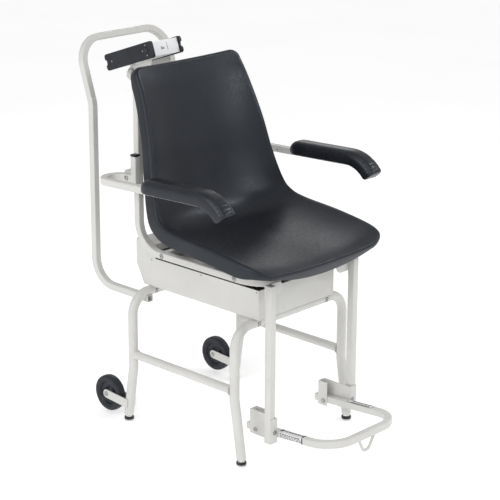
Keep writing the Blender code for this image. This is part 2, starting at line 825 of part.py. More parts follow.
def footrest_post(side_name, finish):
    """The upright tube and the tab that joins it to the seat rail."""
    side = SIDES[side_name]
    tab_front = TAB_REAR_Y - TAB_THICK
    front_y = tab_front - GAP - TUBE
    x_low, x_high = sorted((side * (RAIL_X - HALF), side * (RAIL_X + HALF)))
    post = block(
        side_name + "_footrest_post",
        (x_low, front_y, UPRIGHT_LOW_Z),
        (x_high, tab_front + TAB_THICK / 2, UPRIGHT_HIGH_Z),
        finish,
        bevel=0.002,
    )
    trim_z = TAB_LOW_Z - 0.012
    boolean(post, block("trim", (-1, tab_front - GAP, -1), (1, 0, trim_z), finish))
    middle_z = (TAB_LOW_Z + TAB_HIGH_Z) / 2
    radius = (TAB_HIGH_Z - TAB_LOW_Z) / 2
    outline = [(side * TAB_OUT_X, TAB_HIGH_Z), (side * TAB_OUT_X, TAB_LOW_Z)]
    centre_x = TAB_IN_X + radius
    for i in range(9):
        turn = radians(-90 + 22.5 * i)
        outline.append((side * (centre_x - radius * cos(turn)), middle_z + radius * sin(turn)))
    tab = prism("tab", outline, "xz", tab_front, TAB_REAR_Y, finish)
    return boolean(post, tab, "UNION")


def footrest_bracket(side_name, finish):
    """A folded sheet: front wall, inner side wall, stop wall and the ear beyond the footrest arm."""
    side = SIDES[side_name]
    inner = FOOTREST_X - HALF - GAP  # face of the ear next to the arm
    outer = FOOTREST_X + HALF + GAP  # face of the side wall next to the arm
    front_y = TAB_REAR_Y - TAB_THICK - GAP - TUBE - GAP - FOLD
    stop_rear = BRACKET_STOP_Y + FOLD
    stop_low = footrest_z(BRACKET_STOP_Y) + HALF * (1 + FOOTREST_SLOPE**2) ** 0.5 + GAP

    def wall(name, x_one, x_two, y_low, y_high, z_low):
        x_low, x_high = sorted((side * x_one, side * x_two))
        return block(name, (x_low, y_low, z_low), (x_high, y_high, BRACKET_HIGH_Z), finish)

    made = wall(side_name + "_footrest_bracket", outer, TAB_OUT_X, front_y, front_y + FOLD, BRACKET_LOW_Z)
    boolean(made, wall("side_wall", outer, outer + FOLD, front_y, stop_rear, BRACKET_LOW_Z), "UNION")
    boolean(made, wall("stop_wall", inner - FOLD, outer + FOLD, BRACKET_STOP_Y, stop_rear, stop_low), "UNION")
    boolean(made, wall("ear", inner - FOLD, inner, -0.2088, stop_rear, BRACKET_LOW_Z), "UNION")
    return boolean(made, pivot_bore("bore", finish, side))


def pivot_bore(name, finish, side):
    start = (side * (FOOTREST_X - 0.03), FOOTREST_PIVOT_Y, FOOTREST_PIVOT_Z)
    end = (side * (FOOTREST_X + 0.03), FOOTREST_PIVOT_Y, FOOTREST_PIVOT_Z)
    return rod(name, start, end, PIVOT_R + GAP, finish)


def headed_bolt(name, start, end, radius, head_r, head_thick, nut_thick, finish):
    """A bolt with a round head at start and a nut at end; start and end are the outer faces of what it holds."""
    start, end = Vector(start), Vector(end)
    length = (end - start).length
    profile = [
        (-head_thick, 0),
        (-head_thick, head_r * 0.8),
        (-head_thick * 0.6, head_r),
        (-GAP, head_r),
        (-GAP, radius),
        (length + GAP, radius),
        (length + GAP, head_r * 0.9),
        (length + nut_thick, head_r * 0.9),
        (length + nut_thick, 0),
    ]
    return turned(name, profile, start, end - start, finish, 10)


def footrest_loop(finish):
    """A U of square tube that slopes up a little toward its front bar."""
    rear_z = footrest_z(FOOTREST_REAR_Y)
    front_z = footrest_z(FOOTREST_FRONT_Y)
    corners = [
        ((-FOOTREST_X, FOOTREST_REAR_Y, rear_z), 0),
        ((-FOOTREST_X, FOOTREST_FRONT_Y, front_z), FOOTREST_BEND_R),
        ((FOOTREST_X, FOOTREST_FRONT_Y, front_z), FOOTREST_BEND_R),
        ((FOOTREST_X, FOOTREST_REAR_Y, rear_z), 0),
    ]
    section = square_section(TUBE, TUBE_CORNER_R)
    bore = (square_section(TUBE - 0.004, 0.002), 0.012)
    made = sweep("footrest_loop", section, route(corners), (1, 0, 0), finish, bore=bore)
    for side in SIDES.values():
        boolean(made, pivot_bore("bore", finish, side))
    return made


def pull_loop(finish):
    """A bent rod under the front bar, for lifting the footrest with a toe or a finger."""
    top_z = footrest_z(FOOTREST_FRONT_Y) - HALF - GAP
    y = FOOTREST_FRONT_Y
    corners = [
        ((-0.0320, y, top_z), 0),
        ((-0.0130, y, 0.0545), 0.012),
        ((0.0080, y, 0.0545), 0.012),
        ((0.0300, y, top_z), 0),
    ]
    section = round_section(PULL_ROD_R, 8)
    return sweep("pull_loop", section, route(corners, radians(25)), (0, 1, 0), finish, ((0, 0, 1), (0, 0, 1)))


def build_footrest(white, zinc):
    carrier = body_root("footrest", (0, FOOTREST_PIVOT_Y, FOOTREST_PIVOT_Z))
    carry(carrier, footrest_loop(white), pull_loop(white))
    for side_name, side in SIDES.items():
        footrest_post(side_name, white)
        footrest_bracket(side_name, white)
        start = (side * (FOOTREST_X + HALF + GAP + FOLD), FOOTREST_PIVOT_Y, FOOTREST_PIVOT_Z)
        end = (side * (FOOTREST_X - HALF - GAP - FOLD), FOOTREST_PIVOT_Y, FOOTREST_PIVOT_Z)
        headed_bolt(side_name + "_footrest_pivot", start, end, PIVOT_R, 0.0065, 0.0028, 0.005, zinc)


# ---- wheels -------------------------------------------------------------------------------------------------
def leg_y_at(z):
    """Y of the rear leg's centre line below its knee."""
    return FOOT_REAR_Y + (LEG_REAR_Y - FOOT_REAR_Y) * z / KNEE_REAR_Z


def wheel_bar(name, x_low, x_high, finish):
    """A flat bar from beside the leg, where it is cut square, to its round end at the axle."""
    leg = Vector((leg_y_at(BAR_LEG_Z), BAR_LEG_Z))
    axle = Vector((WHEEL_Y, WHEEL_Z))
    heading = (axle - leg).normalized()
    across = Vector((-heading.y, heading.x))
    radius = BAR_WIDTH / 2
    leg_end = leg - heading * BAR_PAST_LEG
    outline = [leg_end - across * radius, leg_end + across * radius]
    for i in range(7):
        turn = radians(90 - 30 * i)
        outline.append(axle + heading * (radius * cos(turn)) + across * (radius * sin(turn)))
    made = prism(name, outline, "yz", x_low, x_high, finish)
    start = (x_low - 0.01, WHEEL_Y, WHEEL_Z)
    end = (x_high + 0.01, WHEEL_Y, WHEEL_Z)
    return boolean(made, rod("bore", start, end, AXLE_R + GAP, finish))


def wheel(side_name, black, rubber):
    """Hub and tyre, turning on the axle bolt."""
    side = SIDES[side_name]
    half = WHEEL_WIDTH / 2
    centre = Vector((side * WHEEL_X, WHEEL_Y, WHEEL_Z))
    bore = AXLE_R + GAP
    boss = 0.014
    hub_profile = [
        (-half, bore),
        (-half, boss),
        (-half + 0.006, boss + 0.003),
        (-half + 0.007, HUB_R - 0.006),
        (-half + 0.002, HUB_R),
        (half - 0.002, HUB_R),
        (half - 0.007, HUB_R - 0.006),
        (half - 0.006, boss + 0.003),
        (half, boss),
        (half, bore),
    ]
    hub = turned(side_name + "_wheel_hub", hub_profile, centre, (1, 0, 0), black, 20)
    inner = HUB_R + GAP
    tyre_profile = [
        (-half + 0.002, inner),
        (-half, inner + 0.003),
        (-half, WHEEL_R - 0.005),
        (-half + 0.005, WHEEL_R),
        (half - 0.005, WHEEL_R),
        (half, WHEEL_R - 0.005),
        (half, inner + 0.003),
        (half - 0.002, inner),
    ]
    tyre = turned(side_name + "_tyre", tyre_profile, centre, (1, 0, 0), rubber, 24)
    carry(body_root(side_name + "_wheel", centre), hub, tyre)


def build_wheels(white, zinc, black, rubber):
    bar_face = LEG_R + GAP
    for side_name, side in SIDES.items():
        for place, direction in (("inner", -1), ("outer", 1)):
            one = side * (WHEEL_X + direction * bar_face)
            two = side * (WHEEL_X + direction * (bar_face + BAR_THICK))
            wheel_bar(side_name + "_" + place + "_wheel_bar", min(one, two), max(one, two), white)
        wheel(side_name, black, rubber)
        reach = bar_face + BAR_THICK
        start = (side * (WHEEL_X + reach), WHEEL_Y, WHEEL_Z)
        end = (side * (WHEEL_X - reach), WHEEL_Y, WHEEL_Z)
        headed_bolt(side_name + "_axle_bolt", start, end, AXLE_R, 0.0075, 0.0045, 0.006, zinc)


# ---- arms ---------------------------------------------------------------------------------------------------
def arm_z(y):
    """Height of the arm tube's centre line, which rises toward the front."""
    return ARM_Z_AT_ORIGIN - ARM_RISE * y


def droop_end(side, extra=0.0):
    """End of the drooping front run."""
    along = ARM_DROOP_RUN + extra
    y = ARM_DROOP_Y - along * cos(ARM_DROOP_ANGLE)
    z = arm_z(ARM_DROOP_Y) - along * sin(ARM_DROOP_ANGLE)
    return (side * ARM_OUT_X, y, z)


def arm_path(side):
    """From the drooping end, back, round the U bend and forward to the stub post."""
    bend = (ARM_OUT_X - ARM_IN_X) / 2
    rear = ARM_REAR_Y - HALF
    inner_end = (STUB_FRONT_Y + STUB_REAR_Y) / 2
    corners = [
        (droop_end(side), 0),
        ((side * ARM_OUT_X, ARM_DROOP_Y, arm_z(ARM_DROOP_Y)), ARM_DROOP_R),
        ((side * ARM_OUT_X, rear, arm_z(rear)), bend - 0.0002),
        ((side * ARM_IN_X, rear, arm_z(rear)), bend - 0.0002),
        ((side * ARM_IN_X, inner_end, arm_z(inner_end)), 0),
    ]
    return route(corners)


def arm_tube(side_name, finish):
    """The bent tube with its stub post welded on."""
    side = SIDES[side_name]
    made = sweep(
        side_name + "_arm_tube", square_section(TUBE, TUBE_CORNER_R), arm_path(side), (1, 0, 0), finish,
        end_normals=(None, (0, 1, 0)),
    )
    x_low, x_high = sorted((side * (ARM_IN_X - HALF), side * (ARM_IN_X + HALF)))
    low = (x_low, STUB_FRONT_Y, STUB_LOW_Z)
    high = (x_high, STUB_REAR_Y + GAP, STUB_HIGH_Z)
    boolean(made, block("stub", low, high, finish), "UNION")
    start = (side * (ARM_IN_X - 0.02), ARM_PIVOT_Y, ARM_PIVOT_Z)
    end = (side * (ARM_IN_X + 0.02), ARM_PIVOT_Y, ARM_PIVOT_Z)
    return boolean(made, rod("bore", start, end, PIVOT_R + GAP, finish))


def arm_pad(side_name, finish):
    """A foam pad over the front of the arm, round behind and cut off square at the drooping end."""
    side = SIDES[side_name]
    path = pad_path(side)
    bm = bmesh.new()
    rings = []
    travelled = 0.0
    for i, place in enumerate(path):
        if i:
            travelled += (place - path[i - 1]).length
        before = path[max(0, i - 1)]
        after = path[min(len(path) - 1, i + 1)]
        heading = (after - before).normalized()
        up = Vector((0, heading.z, -heading.y))
        rings.append([bm.verts.new(point) for point in pad_ring(place, up, travelled)])
    bridge(bm, rings)
    bm.faces.new(rings[0])
    bm.faces.new(rings[-1])
    made = finish_mesh(side_name + "_arm_pad", bm, finish, smooth=True)
    slot_path = arm_path(side)
    tool = sweep("slot", square_section(TUBE, TUBE_CORNER_R, GAP), slot_path, (1, 0, 0), finish)
    return boolean(made, tool)


def pad_path(side):
    """The tube's centre line under the pad, from the pad's rear end to just past the tube's end."""
    rear = PAD_REAR_Y
    corners = [
        ((side * ARM_OUT_X, rear, arm_z(rear)), 0),
        ((side * ARM_OUT_X, ARM_DROOP_Y, arm_z(ARM_DROOP_Y)), ARM_DROOP_R),
        (droop_end(side, PAD_END_GAP), 0),
    ]
    path = route(corners, radians(14))
    rounding = [path[0] + Vector((0, -0.006 * i, 0.006 * ARM_RISE * i)) for i in (1, 2, 4)]
    return path[:1] + rounding + path[1:]


def pad_ring(place, up, travelled):
    """One cross-section of the pad: a flat underside and a domed top, lower and narrower at the rear end."""
    share = min(1.0, travelled / 0.030)
    swell = (1 - (1 - share) ** 2) ** 0.5
    half_x = PAD_HALF_X * (0.72 + 0.28 * swell)
    low = -PAD_BELOW
    high = HALF + 0.002 + (PAD_ABOVE - HALF - 0.002) * swell
    points = [(-1.0, 0.0), (-1.0, 0.45), (-0.86, 0.74), (-0.55, 0.93), (0.0, 1.0)]
    points += [(-a, b) for a, b in reversed(points[:-1])]
    return [place + Vector((a * half_x, 0, 0)) + up * (low + (high - low) * b) for a, b in points]


def arm_cap(side_name, finish):
    """The plastic cap on the stub post."""
    side = SIDES[side_name]
    x_low, x_high = sorted((side * (ARM_IN_X - HALF), side * (ARM_IN_X + HALF)))
    low = (x_low, STUB_FRONT_Y, STUB_HIGH_Z + GAP)
    high = (x_high, STUB_REAR_Y + GAP, STUB_HIGH_Z + 0.0055)
    return block(side_name + "_arm_cap", low, high, finish, bevel=0.0015)


def arm_bracket(side_name, finish):
    """A bracket on the back post: the hinge plate beside the arm and the shelf that the arm rests on."""
    side = SIDES[side_name]
    post_face = RAIL_X + HALF + GAP
    arm_face = ARM_IN_X - HALF - GAP
    plate = 0.004
    arm_front = ARM_PIVOT_Y + 0.0075  # clears the pivot's nut
    outline = [
        (post_face, arm_front),
        (arm_face - plate, arm_front),
        (arm_face - plate, STUB_FRONT_Y),
        (arm_face, STUB_FRONT_Y),
        (arm_face, POST_Y + HALF),
        (post_face, POST_Y + HALF),
    ]
    outline = [(side * x, y) for x, y in outline]
    name = side_name + "_arm_bracket"
    made = prism(name, outline, "xy", ARM_BRACKET_LOW_Z, ARM_BRACKET_HIGH_Z, finish)
    x_low, x_high = sorted((side * (arm_face - plate), side * (ARM_IN_X + HALF)))
    shelf_top = STUB_LOW_Z - GAP
    shelf_low = (x_low, STUB_FRONT_Y, shelf_top - SHELF_THICK)
    boolean(made, block("shelf", shelf_low, (x_high, STUB_REAR_Y, shelf_top), finish), "UNION")
    start = (side * (arm_face - 0.02), ARM_PIVOT_Y, ARM_PIVOT_Z)
    end = (side * (arm_face + 0.01), ARM_PIVOT_Y, ARM_PIVOT_Z)
    return boolean(made, rod("bore", start, end, PIVOT_R + GAP, finish))


def build_arms(white, zinc, black, foam):
    for side_name, side in SIDES.items():
        carrier = body_root(side_name + "_arm", (side * ARM_IN_X, ARM_PIVOT_Y, ARM_PIVOT_Z))
        pieces = arm_tube(side_name, white), arm_pad(side_name, foam), arm_cap(side_name, black)
        carry(carrier, *pieces)
        arm_bracket(side_name, white)
        start = (side * (ARM_IN_X + HALF), ARM_PIVOT_Y, ARM_PIVOT_Z)
        end = (side * (ARM_IN_X - HALF - GAP - 0.004), ARM_PIVOT_Y, ARM_PIVOT_Z)
        headed_bolt(side_name + "_arm_pivot", start, end, PIVOT_R, 0.0070, 0.0045, 0.005, zinc)


# ---- display unit -------------------------------------------------------------------------------------------
def case_matrix():
    """From the case's own axes to the world: its front edge is up, its face looks up and back."""
    return Matrix.Translation((0, CASE_Y, CASE_Z)) @ Matrix.Rotation(-CASE_TILT, 4, "X")


def case_block(name, low, high, finish, bevel=0.0):
    """A box in the case's own axes."""
    made = block(name, low, high, finish, bevel)
    made.data.transform(case_matrix())
    return made


def sleeve_size():
    """Half sizes of the sleeve."""
    return Vector((CASE_HALF_X - CHEEK_THICK - GAP, CASE_HALF_Y - SLEEVE_INSET_Y, CASE_HALF_Z - SLEEVE_INSET_Z))


def cheek_outline():
    """Side view of an end cheek in the case's own axes: a rounded plate with a notch in its front and rear edge."""
    outline = []
    half_y, half_z = CASE_HALF_Y, CASE_HALF_Z
    corner = 0.006
    notch_half, notch_deep = 0.0075, 0.0060
    for end in (1, -1):
        for z_side in (-end, end):
            centre = (end * (half_y - corner), z_side * (half_z - corner))
            start = {(1, -1): -90, (1, 1): 0, (-1, 1): 90, (-1, -1): 180}[(end, z_side)]
            for i in range(4):
                turn = radians(start + 30 * i)
                outline.append((centre[0] + corner * cos(turn), centre[1] + corner * sin(turn)))
            if z_side == -end:
                first = -end * notch_half
                outline.append((end * half_y, first))
                outline.append((end * (half_y - notch_deep), first * 0.6))
                outline.append((end * (half_y - notch_deep), -first * 0.6))
                outline.append((end * half_y, -first))
    return outline


def end_cheek(side_name, finish):
    """A moulded end cheek of the display unit."""
    side = SIDES[side_name]
    one, two = side * (CASE_HALF_X - CHEEK_THICK), side * CASE_HALF_X
    made = prism(side_name + "_end_cheek", cheek_outline(), "yz", min(one, two), max(one, two), finish)
    made.data.transform(case_matrix())
    return made


def sleeve(finish):
    """The metal sleeve, open at both sides, with holes for the window and keys and two lugs for the tilt bolt."""
    half = sleeve_size()
    made = case_block("indicator_sleeve", -half, half, finish)
    wall = CASE_WALL
    low = (-half.x - 0.01, wall - half.y, wall - half.z)
    high = (half.x + 0.01, half.y - wall, half.z - wall)
    boolean(made, case_block("hollow", low, high, finish))
    up = Vector((sin(CASE_TILT), cos(CASE_TILT)))
    along = Vector((cos(CASE_TILT), -sin(CASE_TILT)))
    centre = Vector((TILT_Y, TILT_Z))
    under = Vector((CASE_Y, CASE_Z)) - up * half.z
    height = (under - centre).dot(up) + 0.001
    lug_r = 0.0085
    for side in SIDES.values():
        x_one = side * (YOKE_X - YOKE_SHEET / 2 - GAP)
        x_two = side * (YOKE_X - YOKE_SHEET / 2 - GAP - 0.005)
        outline = [centre + along * lug_r + up * height, centre - along * lug_r + up * height]
        for i in range(7):
            turn = radians(180 + 30 * i)
            outline.append(centre + along * (lug_r * cos(turn)) + up * (lug_r * sin(turn)))
        boolean(made, prism("lug", outline, "yz", min(x_one, x_two), max(x_one, x_two), finish), "UNION")
    boolean(made, rod("bore", (-YOKE_X, TILT_Y, TILT_Z), (YOKE_X, TILT_Y, TILT_Z), PIVOT_R + GAP, finish))
    inside = half.z - wall - 0.001
    for index in range(len(KEYS)):
        reach = KEY_HALF + GAP
        low = (key_x(index) - reach, KEY_ROW_Y - reach, inside)
        high = (key_x(index) + reach, KEY_ROW_Y + reach, half.z + 0.01)
        boolean(made, case_block("key_hole", low, high, finish))
    low = (-WINDOW_HALF_X, WINDOW_Y - WINDOW_HALF_Y, inside)
    high = (WINDOW_HALF_X, WINDOW_Y + WINDOW_HALF_Y, half.z + 0.01)
    return boolean(made, case_block("window_hole", low, high, finish))


KEYS = ("power_key", "zero_key", "unit_key", "hold_key")
KEY_HALF = 0.0075
KEY_PITCH = 0.0230
KEY_ROW_Y = 0.0560
WINDOW_HALF_X = 0.0400
WINDOW_HALF_Y = 0.0190
WINDOW_Y = -0.0150


def key_x(index):
    return (index - (len(KEYS) - 1) / 2) * KEY_PITCH


def display_window(finish):
    top = sleeve_size().z - 0.0005
    low = (GAP - WINDOW_HALF_X, WINDOW_Y - WINDOW_HALF_Y + GAP, top - 0.0020)
    high = (WINDOW_HALF_X - GAP, WINDOW_Y + WINDOW_HALF_Y - GAP, top)
    return case_block("display_window", low, high, finish)


def circuit_board(finish):
    half = sleeve_size()
    margin = 0.004
    low = (margin - half.x, margin - half.y, BOARD_Z - BOARD_THICK)
    high = (half.x - margin, half.y - margin, BOARD_Z)
    return case_block("circuit_board", low, high, finish)


def key(index, finish):
    """A key that stands a little proud of the face and reaches down to its switch on the board."""
    x = key_x(index)
    low = (x - KEY_HALF, KEY_ROW_Y - KEY_HALF, BOARD_Z + KEY_TRAVEL + GAP)
    high = (x + KEY_HALF, KEY_ROW_Y + KEY_HALF, sleeve_size().z + 0.0015)
    return case_block(KEYS[index], low, high, finish)


def yoke(finish):
    """A folded sheet bracket: two cheeks joined by a front web."""
    gap_below_case = 0.004
    slope = tan(CASE_TILT)
    under_z = CASE_Z - (CASE_HALF_Z - SLEEVE_INSET_Z) / cos(CASE_TILT)

    def edge_z(y):
        return under_z - (y - CASE_Y) * slope - gap_below_case

    low_z = BACK_SUPPORT_Z - HALF - 0.004
    cheek = [
        (YOKE_FRONT_Y, low_z),
        (YOKE_FRONT_Y, edge_z(YOKE_FRONT_Y)),
        (TILT_Y + 0.006, edge_z(TILT_Y + 0.006)),
        (YOKE_REAR_Y, edge_z(YOKE_REAR_Y) - 0.014),
        (YOKE_REAR_Y, 0.8970),
        (YOKE_REAR_Y - 0.012, 0.8900),
    ]
    half = YOKE_SHEET / 2
    made = block(
        "indicator_yoke",
        (-YOKE_X, YOKE_FRONT_Y, low_z),
        (YOKE_X, YOKE_FRONT_Y + YOKE_SHEET, edge_z(YOKE_FRONT_Y) - 0.010),
        finish,
    )
    for side in SIDES.values():
        boolean(made, prism("cheek", cheek, "yz", side * YOKE_X - half, side * YOKE_X + half, finish), "UNION")
    bore = rod("bore", (-YOKE_X - 0.01, TILT_Y, TILT_Z), (YOKE_X + 0.01, TILT_Y, TILT_Z), PIVOT_R + GAP, finish)
    return boolean(made, bore)


def tilt_knob(finish):
    """The small clamp knob with its bolt, which is also the tilt axis."""
    face = YOKE_X + YOKE_SHEET / 2 + GAP
    end = KNOB_LENGTH + 2 * face + 0.004
    profile = [
        (0, 0),
        (0, KNOB_R - 0.0015),
        (0.0015, KNOB_R),
        (0.0065, KNOB_R),
        (0.0075, KNOB_R - 0.0015),
        (KNOB_LENGTH, KNOB_R - 0.0015),
        (KNOB_LENGTH, PIVOT_R),
        (end, PIVOT_R),
        (end, 0),
    ]
    return turned("tilt_knob", profile, (-face - KNOB_LENGTH, TILT_Y, TILT_Z), (1, 0, 0), finish, 12)


def build_indicator(white, zinc, black, clear, green, rubber):
    post_face = POST_Y + HALF + GAP
    arm_low = (-HALF, post_face, BACK_SUPPORT_Z - HALF)
    arm_high = (HALF, YOKE_FRONT_Y - GAP, BACK_SUPPORT_Z + HALF)
    block("indicator_arm", arm_low, arm_high, white, bevel=0.0025)
    yoke(white)
    knob = tilt_knob(zinc)
    carry(body_root("knob", (0, TILT_Y, TILT_Z)), knob)
    carrier = body_root("indicator", (0, TILT_Y, TILT_Z))
    carry(carrier, sleeve(white), display_window(clear), circuit_board(green))
    carry(carrier, *(end_cheek(side_name, black) for side_name in SIDES))
    carry(carrier, *(key(index, rubber) for index in range(len(KEYS))))


# ---- the whole object ---------------------------------------------------------------------------------------
def main():
    for old in list(bpy.data.objects):
        bpy.data.objects.remove(old)
    white = material("white_powder_coat", (0.83, 0.83, 0.80), 0.42)
    zinc = material("zinc_fastener", (0.62, 0.62, 0.60), 0.35, 1.0)
    chrome = material("levelling_foot", (0.55, 0.55, 0.55), 0.20, 1.0)
    aluminium = material("load_cell_aluminium", (0.75, 0.76, 0.77), 0.35, 1.0)
    steel = material("spacer_steel", (0.50, 0.50, 0.51), 0.40, 1.0)
    shell = material("moulded_shell", (0.022, 0.023, 0.026), 0.48)
    foam = material("arm_pad_foam", (0.020, 0.021, 0.024), 0.50)
    plastic = material("black_plastic", (0.020, 0.020, 0.022), 0.45)
    rubber = material("black_rubber", (0.018, 0.018, 0.018), 0.70)
    clear = material("display_window", (0.05, 0.06, 0.05), 0.08)
    green = material("circuit_board", (0.02, 0.16, 0.07), 0.50)
    rear_leg_path = build_legs(white, chrome)
    build_base(white, aluminium, steel)
    build_seat(white, shell)
    push_handle(rear_leg_path, white)
    build_footrest(white, zinc)
    build_wheels(white, zinc, plastic, rubber)
    build_arms(white, zinc, plastic, foam)
    build_indicator(white, zinc, plastic, clear, green, rubber)


main()
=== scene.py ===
"""Rolling chair scale: the finished looks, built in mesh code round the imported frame.

Metres, +Z up, front toward -Y. Each piece rides on the body of the CAD node that it stands for.
"""

import json
from math import acos, atan2, copysign, cos, exp, pi, radians, sin, tan
from random import Random

import bmesh
import bpy
from mathutils import Matrix, Vector


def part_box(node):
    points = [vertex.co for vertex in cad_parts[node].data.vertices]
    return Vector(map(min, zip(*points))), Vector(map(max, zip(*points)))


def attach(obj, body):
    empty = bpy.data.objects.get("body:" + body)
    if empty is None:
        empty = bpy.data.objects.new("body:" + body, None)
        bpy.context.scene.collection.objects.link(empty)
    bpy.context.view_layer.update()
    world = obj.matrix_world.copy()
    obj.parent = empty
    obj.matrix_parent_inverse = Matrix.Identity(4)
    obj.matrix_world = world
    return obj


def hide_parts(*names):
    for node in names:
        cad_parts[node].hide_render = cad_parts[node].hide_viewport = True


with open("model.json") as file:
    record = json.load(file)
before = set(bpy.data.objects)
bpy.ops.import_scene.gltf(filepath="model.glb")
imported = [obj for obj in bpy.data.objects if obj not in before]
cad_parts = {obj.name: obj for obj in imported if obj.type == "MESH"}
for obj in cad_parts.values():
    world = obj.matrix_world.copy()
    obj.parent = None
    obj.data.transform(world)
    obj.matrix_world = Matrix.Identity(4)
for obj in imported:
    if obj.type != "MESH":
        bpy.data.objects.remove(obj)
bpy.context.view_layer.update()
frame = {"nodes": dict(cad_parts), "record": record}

BODY = {node: body for body, nodes in frame["record"]["behaviour"]["bodies"].items() for node in nodes}
SIDES = {"left": -1, "right": 1}

# ---- camera
CAMERA_PLACE = Vector((-3.0903, -2.9508, 1.8535))
CAMERA_AZIMUTH = radians(-46.69)
CAMERA_ELEVATION = radians(17.75)
CAMERA_ROLL = radians(0.33)
CAMERA_LENS = 122.58  # mm, on a 36 mm sensor

# ---- sizes of the tubes and their routes
GAP = 0.0003
LEG_R = 0.0127
LEG_X = 0.2075
LEG_Y = {"front": -0.1822, "rear": 0.1932}
FOOT_X = 0.2068
FOOT_Y = {"front": -0.2096, "rear": 0.2180}
KNEE_Z = {"front": 0.1767, "rear": 0.1598}
KNEE_BEND_R = 0.060
LEG_BEND_R = 0.055
LEG_TOP_Z = 0.3633
LEG_END_Z = 0.0200
LEG_BORE_R = 0.0072
STRETCHER_R = 0.0111
STRETCHER_Z = 0.1986
TUBE = 0.0190
TUBE_CORNER_R = 0.0030
HALF = TUBE / 2

RAIL_X = 0.1584
RAIL_Z = 0.47925
POST_Y = 0.2152
POST_TOP_Z = 0.9050
RAIL_BEND_R = 0.080
RAIL_FRONT_Y = -0.1508
RAIL_FRONT_BEND_R = 0.095
RAIL_TURN_SHARE = 0.912  # sine of the angle through which the rail's front end turns inward
SUPPORT_Y = (-0.1408, 0.1222)

HANDLE_X = 0.1561
HANDLE_LOW_Z = 0.34575
HANDLE_START_Y = 0.1797
HANDLE_POST_Y = 0.3923
HANDLE_LOW_BEND_R = 0.0694
HANDLE_KICK_Z = 0.8416
HANDLE_TOP_Y = 0.4470
HANDLE_TOP_Z = 1.0055
HANDLE_KICK_BEND_R = 0.060
HANDLE_TOP_BEND_R = 0.0707

FOOTREST_X = 0.1332
FOOTREST_FRONT_Y = -0.4482
FOOTREST_REAR_Y = -0.1638
FOOTREST_BEND_R = 0.0727
FOOTREST_SLOPE = 0.07
FOOTREST_Z_AT = 0.08505
FOOTREST_Y_AT = -0.2458
FOOTREST_PIVOT = (-0.1975, 0.0785)
BRACKET_SHEET = 0.0025
PULL_ROD_R = 0.00384
PULL_LOW_Z = 0.0545

ARM_OUT_X = 0.2778
ARM_IN_X = 0.2098
ARM_RISE = 0.04
ARM_Z_AT_ORIGIN = 0.69487
ARM_REAR_Y = 0.2472
ARM_DROOP_Y = -0.1800
ARM_DROOP_R = 0.0830
ARM_DROOP_ANGLE = radians(50)
ARM_DROOP_RUN = 0.0425
STUB_FRONT_Y = 0.1622
STUB_REAR_Y = 0.1812
ARM_PIVOT = (0.1962, 0.6868)

PAD_HALF_X = 0.0260
PAD_REAR_Y = 0.0612
PAD_BELOW = 0.0030
PAD_ABOVE = 0.0345
PAD_END_GAP = 0.0040

CASE_TILT = radians(19.2)
CASE_Y = 0.3587
CASE_Z = 0.9604
CASE_HALF_X = 0.0565
CASE_HALF_Y = 0.09675
CASE_HALF_Z = 0.0226
TILT_Y = 0.3662
TILT_Z = 0.9170

FINE = radians(5)  # step of a bend


# ---- materials
COOL = (0.84, 0.91, 1.0)  # tint of the shine on dark plastic


